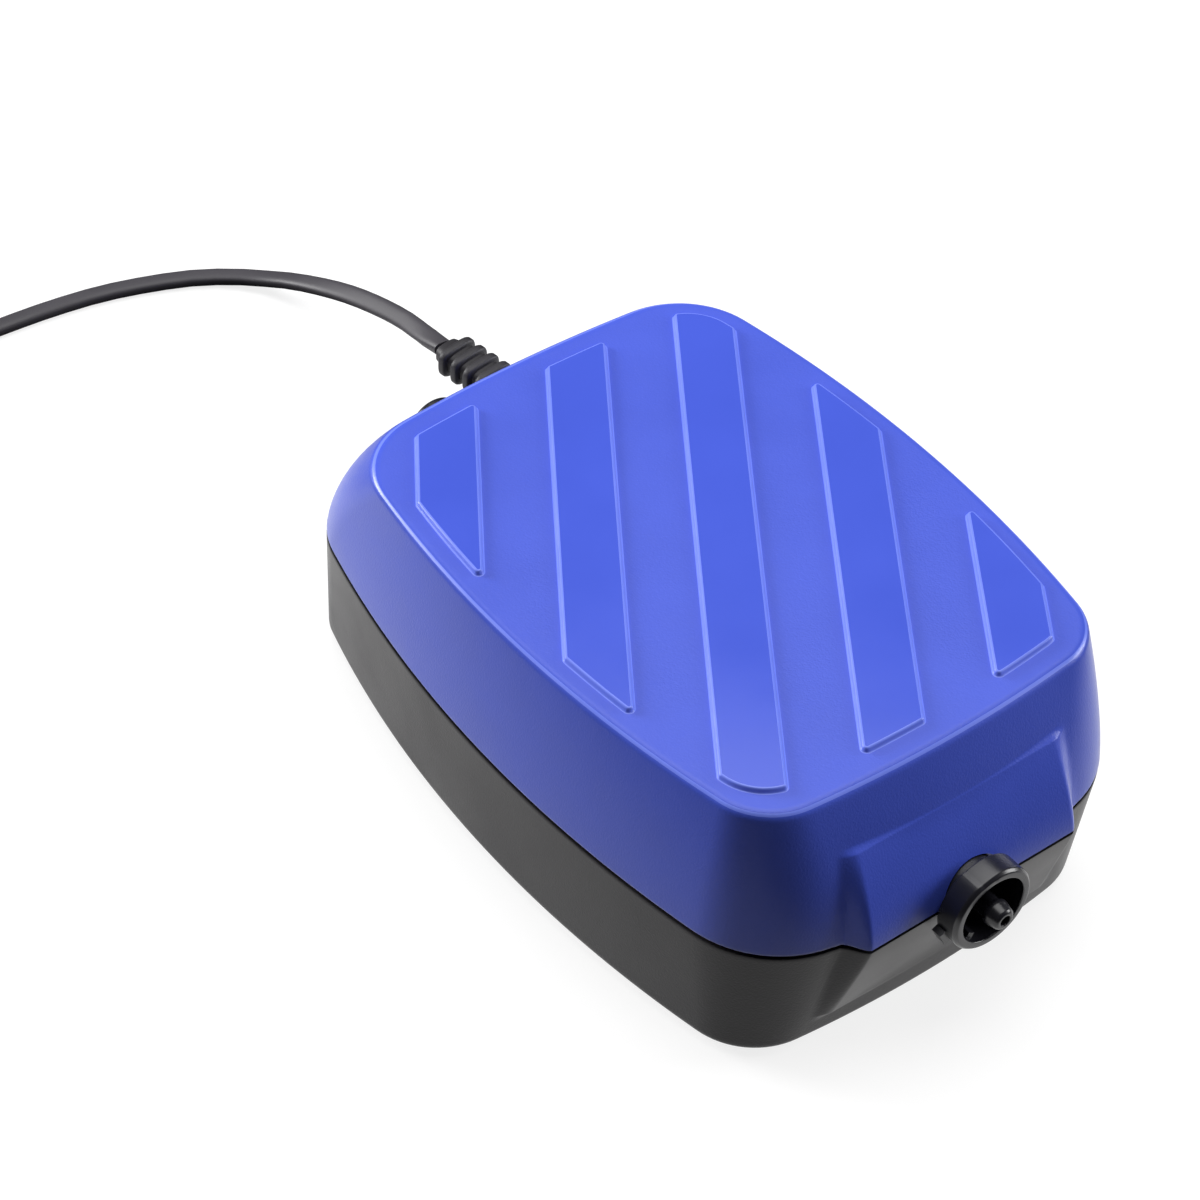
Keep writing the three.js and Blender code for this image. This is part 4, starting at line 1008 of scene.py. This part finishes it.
def plug_ring(half_x, half_z, y, squareness, count=48):
    section = squared_section(half_x, half_z, squareness, count) + (PLUG_X, PLUG_Z)
    return np.column_stack([section[:, 0], np.full(count, float(y)), section[:, 1]])


def make_plug(material, brass):
    """The moulded plug, from its flat face to its grooved neck, and its two blades."""
    stations = np.array(PLUG_STATIONS)
    fine = np.linspace(0, 36, 61)
    fine = np.unique(np.concatenate([[0, 0.3, 0.6, 1], fine[2:]]))
    rings = []
    for station in fine:
        half_x, half_z = (np.interp(station, stations[:, 0], stations[:, k]) for k in (1, 2))
        is_groove = 24 < station < 35.4 and int(station / GROOVE_PITCH) % 2 == 0
        groove = GROOVE_DEPTH if is_groove else 0
        roundness = smooth_step((station - 16) / 10)
        squareness = PLUG_SQUARENESS + (1 - PLUG_SQUARENESS) * roundness
        rings.append(plug_ring(half_x - groove, half_z - groove, PLUG_FACE_Y + station, squareness))
    build = Build()
    loops = build.loft(rings)
    build.face(loops[0])
    build.face(loops[-1])
    plug = build.piece("plug_body")
    slots = []
    for side in (-1, 1):
        x = PLUG_X + side * BLADE_PITCH / 2
        half = BLADE_HALF + SLOT_CLEARANCE
        slots.append(((x - SLOT_HALF, PLUG_FACE_Y - 1, PLUG_Z - half),
                      (x + SLOT_HALF, PLUG_FACE_Y + SLOT_DEPTH, PLUG_Z + half)))
    boolean(plug, box_tool("tool", slots), "DIFFERENCE")
    finish_mesh(plug, 50)
    dress(plug, [material], "case", "cord_pvc", "plug")
    blades = [make_blade(name, side, brass) for name, side in
              (("plug_blade_left", -1), ("plug_blade_right", 1))]
    return [plug, *blades]


def make_blade(name, side, material):
    x = PLUG_X + side * BLADE_PITCH / 2
    front, back = PLUG_FACE_Y + BLADE_FRONT, PLUG_FACE_Y + BLADE_BACK
    half = BLADE_HALF
    corners = [(front, -half), (back, -half), (back, half), (front, half), (front, -half)]
    shape = softened(corners, 2.2, 6, True)[:-1]
    build = Build()
    middle = np.array([(front + back) / 2, 0])
    rings = []
    for across, inset in BLADE_EDGE:
        ring = []
        for point in shape:
            towards = (middle - point) / np.linalg.norm(middle - point)
            y, z = point + towards * inset
            ring.append((x + across, y, PLUG_Z + z))
        rings.append(ring)
    loops = build.loft(rings)
    build.face(loops[0])
    build.face(loops[-1])
    blade = build.piece(name + "_brass")
    hole = turned(Build(), [(0, -2), (BLADE_HOLE, -2), (BLADE_HOLE, 2), (0, 2)],
                  (x, front + 4, PLUG_Z), "X", 28)
    boolean(blade, hole.piece("tool"), "DIFFERENCE")
    finish_mesh(blade)
    return dress(blade, [material], "case", "brass", name)


# ---------------------------------------------------------------- materials

class Nodes:
    """A new node material and short ways to add to it."""

    def __init__(self, name):
        self.material = bpy.data.materials.new(name)
        self.material.use_nodes = True
        self.tree = self.material.node_tree
        self.shader = self.tree.nodes["Principled BSDF"]
        self.coordinates = self.tree.nodes.new("ShaderNodeTexCoord")

    def noise(self, scale, detail):
        node = self.tree.nodes.new("ShaderNodeTexNoise")
        node.inputs["Scale"].default_value = scale
        node.inputs["Detail"].default_value = detail
        self.tree.links.new(self.coordinates.outputs["Object"], node.inputs["Vector"])
        return node.outputs["Fac"]

    def ramp(self, source, stops):
        node = self.tree.nodes.new("ShaderNodeValToRGB")
        ramp = node.color_ramp
        for element, (position, colour) in zip(ramp.elements, stops):
            element.position = position
            element.color = (*colour, 1)
        self.tree.links.new(source, node.inputs["Fac"])
        self.tree.links.new(node.outputs["Color"], self.shader.inputs["Base Color"])

    def roughness(self, source, low, high):
        node = self.tree.nodes.new("ShaderNodeMapRange")
        node.inputs["From Min"].default_value = 0.3
        node.inputs["From Max"].default_value = 0.7
        node.inputs["To Min"].default_value = low
        node.inputs["To Max"].default_value = high
        self.tree.links.new(source, node.inputs["Value"])
        self.tree.links.new(node.outputs["Result"], self.shader.inputs["Roughness"])

    def bump(self, source, depth):
        node = self.tree.nodes.new("ShaderNodeBump")
        node.inputs["Distance"].default_value = depth
        self.tree.links.new(source, node.inputs["Height"])
        self.tree.links.new(node.outputs["Normal"], self.shader.inputs["Normal"])


def surface(name, dark, light, rough, grain, mottle=60, metallic=0.0,
            specular=PLAIN_SPECULAR, sheen=0.0):
    """A moulded or drawn surface: mottled colour, uneven gloss and a fine grain in relief."""
    nodes = Nodes(name)
    broad = nodes.noise(mottle, 4)
    fine = nodes.noise(grain[0], 2)
    nodes.ramp(broad, [(0.3, dark), (0.7, light)])
    nodes.roughness(broad, *rough)
    nodes.bump(fine, grain[1])
    nodes.shader.inputs["Metallic"].default_value = metallic
    nodes.shader.inputs["Specular IOR Level"].default_value = specular
    nodes.shader.inputs["Sheen Weight"].default_value = sheen
    nodes.shader.inputs["Sheen Roughness"].default_value = SHEEN_ROUGHNESS
    return nodes.material


def shaded(colour, share):
    return tuple(c * share for c in colour)


def record_colour(slot):
    found = [m for m in frame["record"]["materials"] if m["slot"] == slot]
    return tuple(found[0]["base_color"][:3])


def make_materials():
    made = {}
    blue = record_colour("blue_abs")
    made["blue_ground"] = surface(
        "blue_ground", shaded(blue, 0.96), shaded(blue, 1.04), (0.3, 0.36), (2600, 0.00004),
        specular=0.3, sheen=0.5)
    made["blue_band"] = surface(
        "blue_band", shaded(blue, 0.98), shaded(blue, 1.03), (0.1, 0.15), (900, 0.000003),
        specular=0.26)
    # Painted highlight: a lighter, more specular blue for the bands' edges and the rim line.
    made["blue_painted_highlight"] = surface(
        "blue_painted_highlight", PAINTED_HIGHLIGHT_DARK, PAINTED_HIGHLIGHT_LIGHT, (0.3, 0.36), (900, 0.000003), specular=0.42)
    looks = {  # slot: (roughness range, (grain scale, grain depth in metres), metallic)
        "black_abs": ((0.3, 0.38), (2600, 0.00004), 0.0),
        "gloss_black": ((0.24, 0.32), (900, 0.000004), 0.0),
        "foot_rubber": ((0.7, 0.82), (1800, 0.00005), 0.0),
        "seal_rubber": ((0.7, 0.82), (1800, 0.00005), 0.0),
        "zinc_steel": ((0.22, 0.34), (1400, 0.00001), 1.0),
        "white_nylon": ((0.42, 0.52), (1500, 0.00002), 0.0),
        "clear_pvc": ((0.14, 0.24), (500, 0.00001), 0.0),
        "ferrite": ((0.55, 0.7), (2200, 0.00004), 0.0),
        "core_steel": ((0.35, 0.5), (1600, 0.00003), 1.0),
        "copper_wire": ((0.25, 0.38), (1200, 0.00004), 1.0),
        "brown_pvc": ((0.4, 0.5), (1400, 0.00001), 0.0),
        "blue_pvc": ((0.4, 0.5), (1400, 0.00001), 0.0),
        "felt": ((0.9, 1.0), (2400, 0.0001), 0.0),
        "cord_pvc": ((0.5, 0.62), (1800, 0.00002), 0.0),
        "brass": ((0.18, 0.3), (1200, 0.000008), 1.0),
    }
    for slot, (rough, grain, metallic) in looks.items():
        colour = shaded(record_colour(slot), COLOUR_SHARES.get(slot, 1))
        specular = CASE_SPECULAR if slot == "black_abs" else PLAIN_SPECULAR
        made[slot] = surface(slot, shaded(colour, 0.88), shaded(colour, 1.08), rough, grain,
                             metallic=metallic, specular=specular)
    cord = record_colour("cord_pvc")
    made["relief_pvc"] = surface(
        "relief_pvc", *(shaded(cord, share) for share in RELIEF_SHARES), (0.5, 0.62),
        (1800, 0.00002))
    return made


def paint_cad_nodes(materials):
    """Every CAD node that stays in view of the model gets its slot's material."""
    for entry in frame["record"]["subparts"]:
        slot = entry["material_slot"]
        node = frame["nodes"][entry["node"]]
        node.data.materials.clear()
        node.data.materials.append(materials.get(slot, materials["blue_ground"]))


# ---------------------------------------------------------------- stage

def make_floor():
    """A plain floor that glows a little, so that shadows stay faint; only the near part is mirrored."""
    pale = surface("floor_paint", (0.24, 0.24, 0.24), (0.26, 0.26, 0.26), (0.85, 0.95),
                   (200, 0.00001), 3)
    shader = pale.node_tree.nodes["Principled BSDF"]
    shader.inputs["Emission Color"].default_value = (1, 1, 1, 1)
    shader.inputs["Emission Strength"].default_value = FLOOR_GLOW
    for name, size, drop in (("floor_far", 6000, 0.05), ("floor_near", NEAR_FLOOR, 0)):
        build = Build()
        corners = [(-size, -size), (size, -size), (size, size), (-size, size)]
        build.face(build.ring([(x, y, -drop) for x, y in corners]))
        floor = build.piece(name)
        floor.data.materials.append(pale)
        floor.visible_diffuse = False
        floor.visible_glossy = name == "floor_near"


def area_light(name, position, target, size, power):
    light = bpy.data.lights.new(name, "AREA")
    light.shape = "DISK"
    light.size = size
    light.energy = power
    lamp = bpy.data.objects.new(name, light)
    bpy.context.scene.collection.objects.link(lamp)
    lamp.location = position
    aim = Vector(target) - Vector(position)
    lamp.rotation_euler = aim.to_track_quat("-Z", "Y").to_euler()


def make_lights():
    world = bpy.data.worlds.new("studio")
    bpy.context.scene.world = world
    world.use_nodes = True
    background = world.node_tree.nodes["Background"]
    background.inputs["Color"].default_value = (1, 1, 1, 1)
    background.inputs["Strength"].default_value = WORLD_LIGHT
    for name, position, size, power in LIGHTS:
        area_light(name, position, LIGHT_TARGET, size, power)


def make_camera():
    azimuth, elevation = math.radians(CAMERA_AZIMUTH), math.radians(CAMERA_ELEVATION)
    back = Vector((
        math.sin(azimuth) * math.cos(elevation),
        -math.cos(azimuth) * math.cos(elevation),
        math.sin(elevation),
    ))
    camera = bpy.data.objects.new("camera", bpy.data.cameras.new("camera"))
    bpy.context.scene.collection.objects.link(camera)
    camera.data.lens = CAMERA_LENS
    camera.data.clip_start = 0.01
    target = Vector(place([CAMERA_TARGET])[0])
    camera.location = target + back * CAMERA_DISTANCE * MM
    roll = Quaternion((0, 0, 1), math.radians(CAMERA_ROLL))
    camera.rotation_mode = "QUATERNION"
    camera.rotation_quaternion = (-back).to_track_quat("-Z", "Y") @ roll
    bpy.context.scene.camera = camera


# ---------------------------------------------------------------- scene

bpy.context.scene.view_settings.view_transform = "Standard"
make_camera()
make_lights()
make_floor()

materials = make_materials()
paint_cad_nodes(materials)

plug_pieces = make_plug(materials["cord_pvc"], materials["brass"])
relief = make_relief(materials["relief_pvc"])
tie = make_tie(materials["foot_rubber"])
make_cord(materials["cord_pvc"])

# The cover's third material is the painted highlight on its edges.
make_cover(materials["blue_ground"], materials["blue_band"], materials["blue_painted_highlight"])
make_base(materials["black_abs"])
make_knob(materials["gloss_black"])
make_nozzle(materials["gloss_black"])
make_intake(materials["gloss_black"])
make_diaphragm(materials["seal_rubber"])
make_feet(materials["foot_rubber"])
make_case_screws(materials["zinc_steel"])
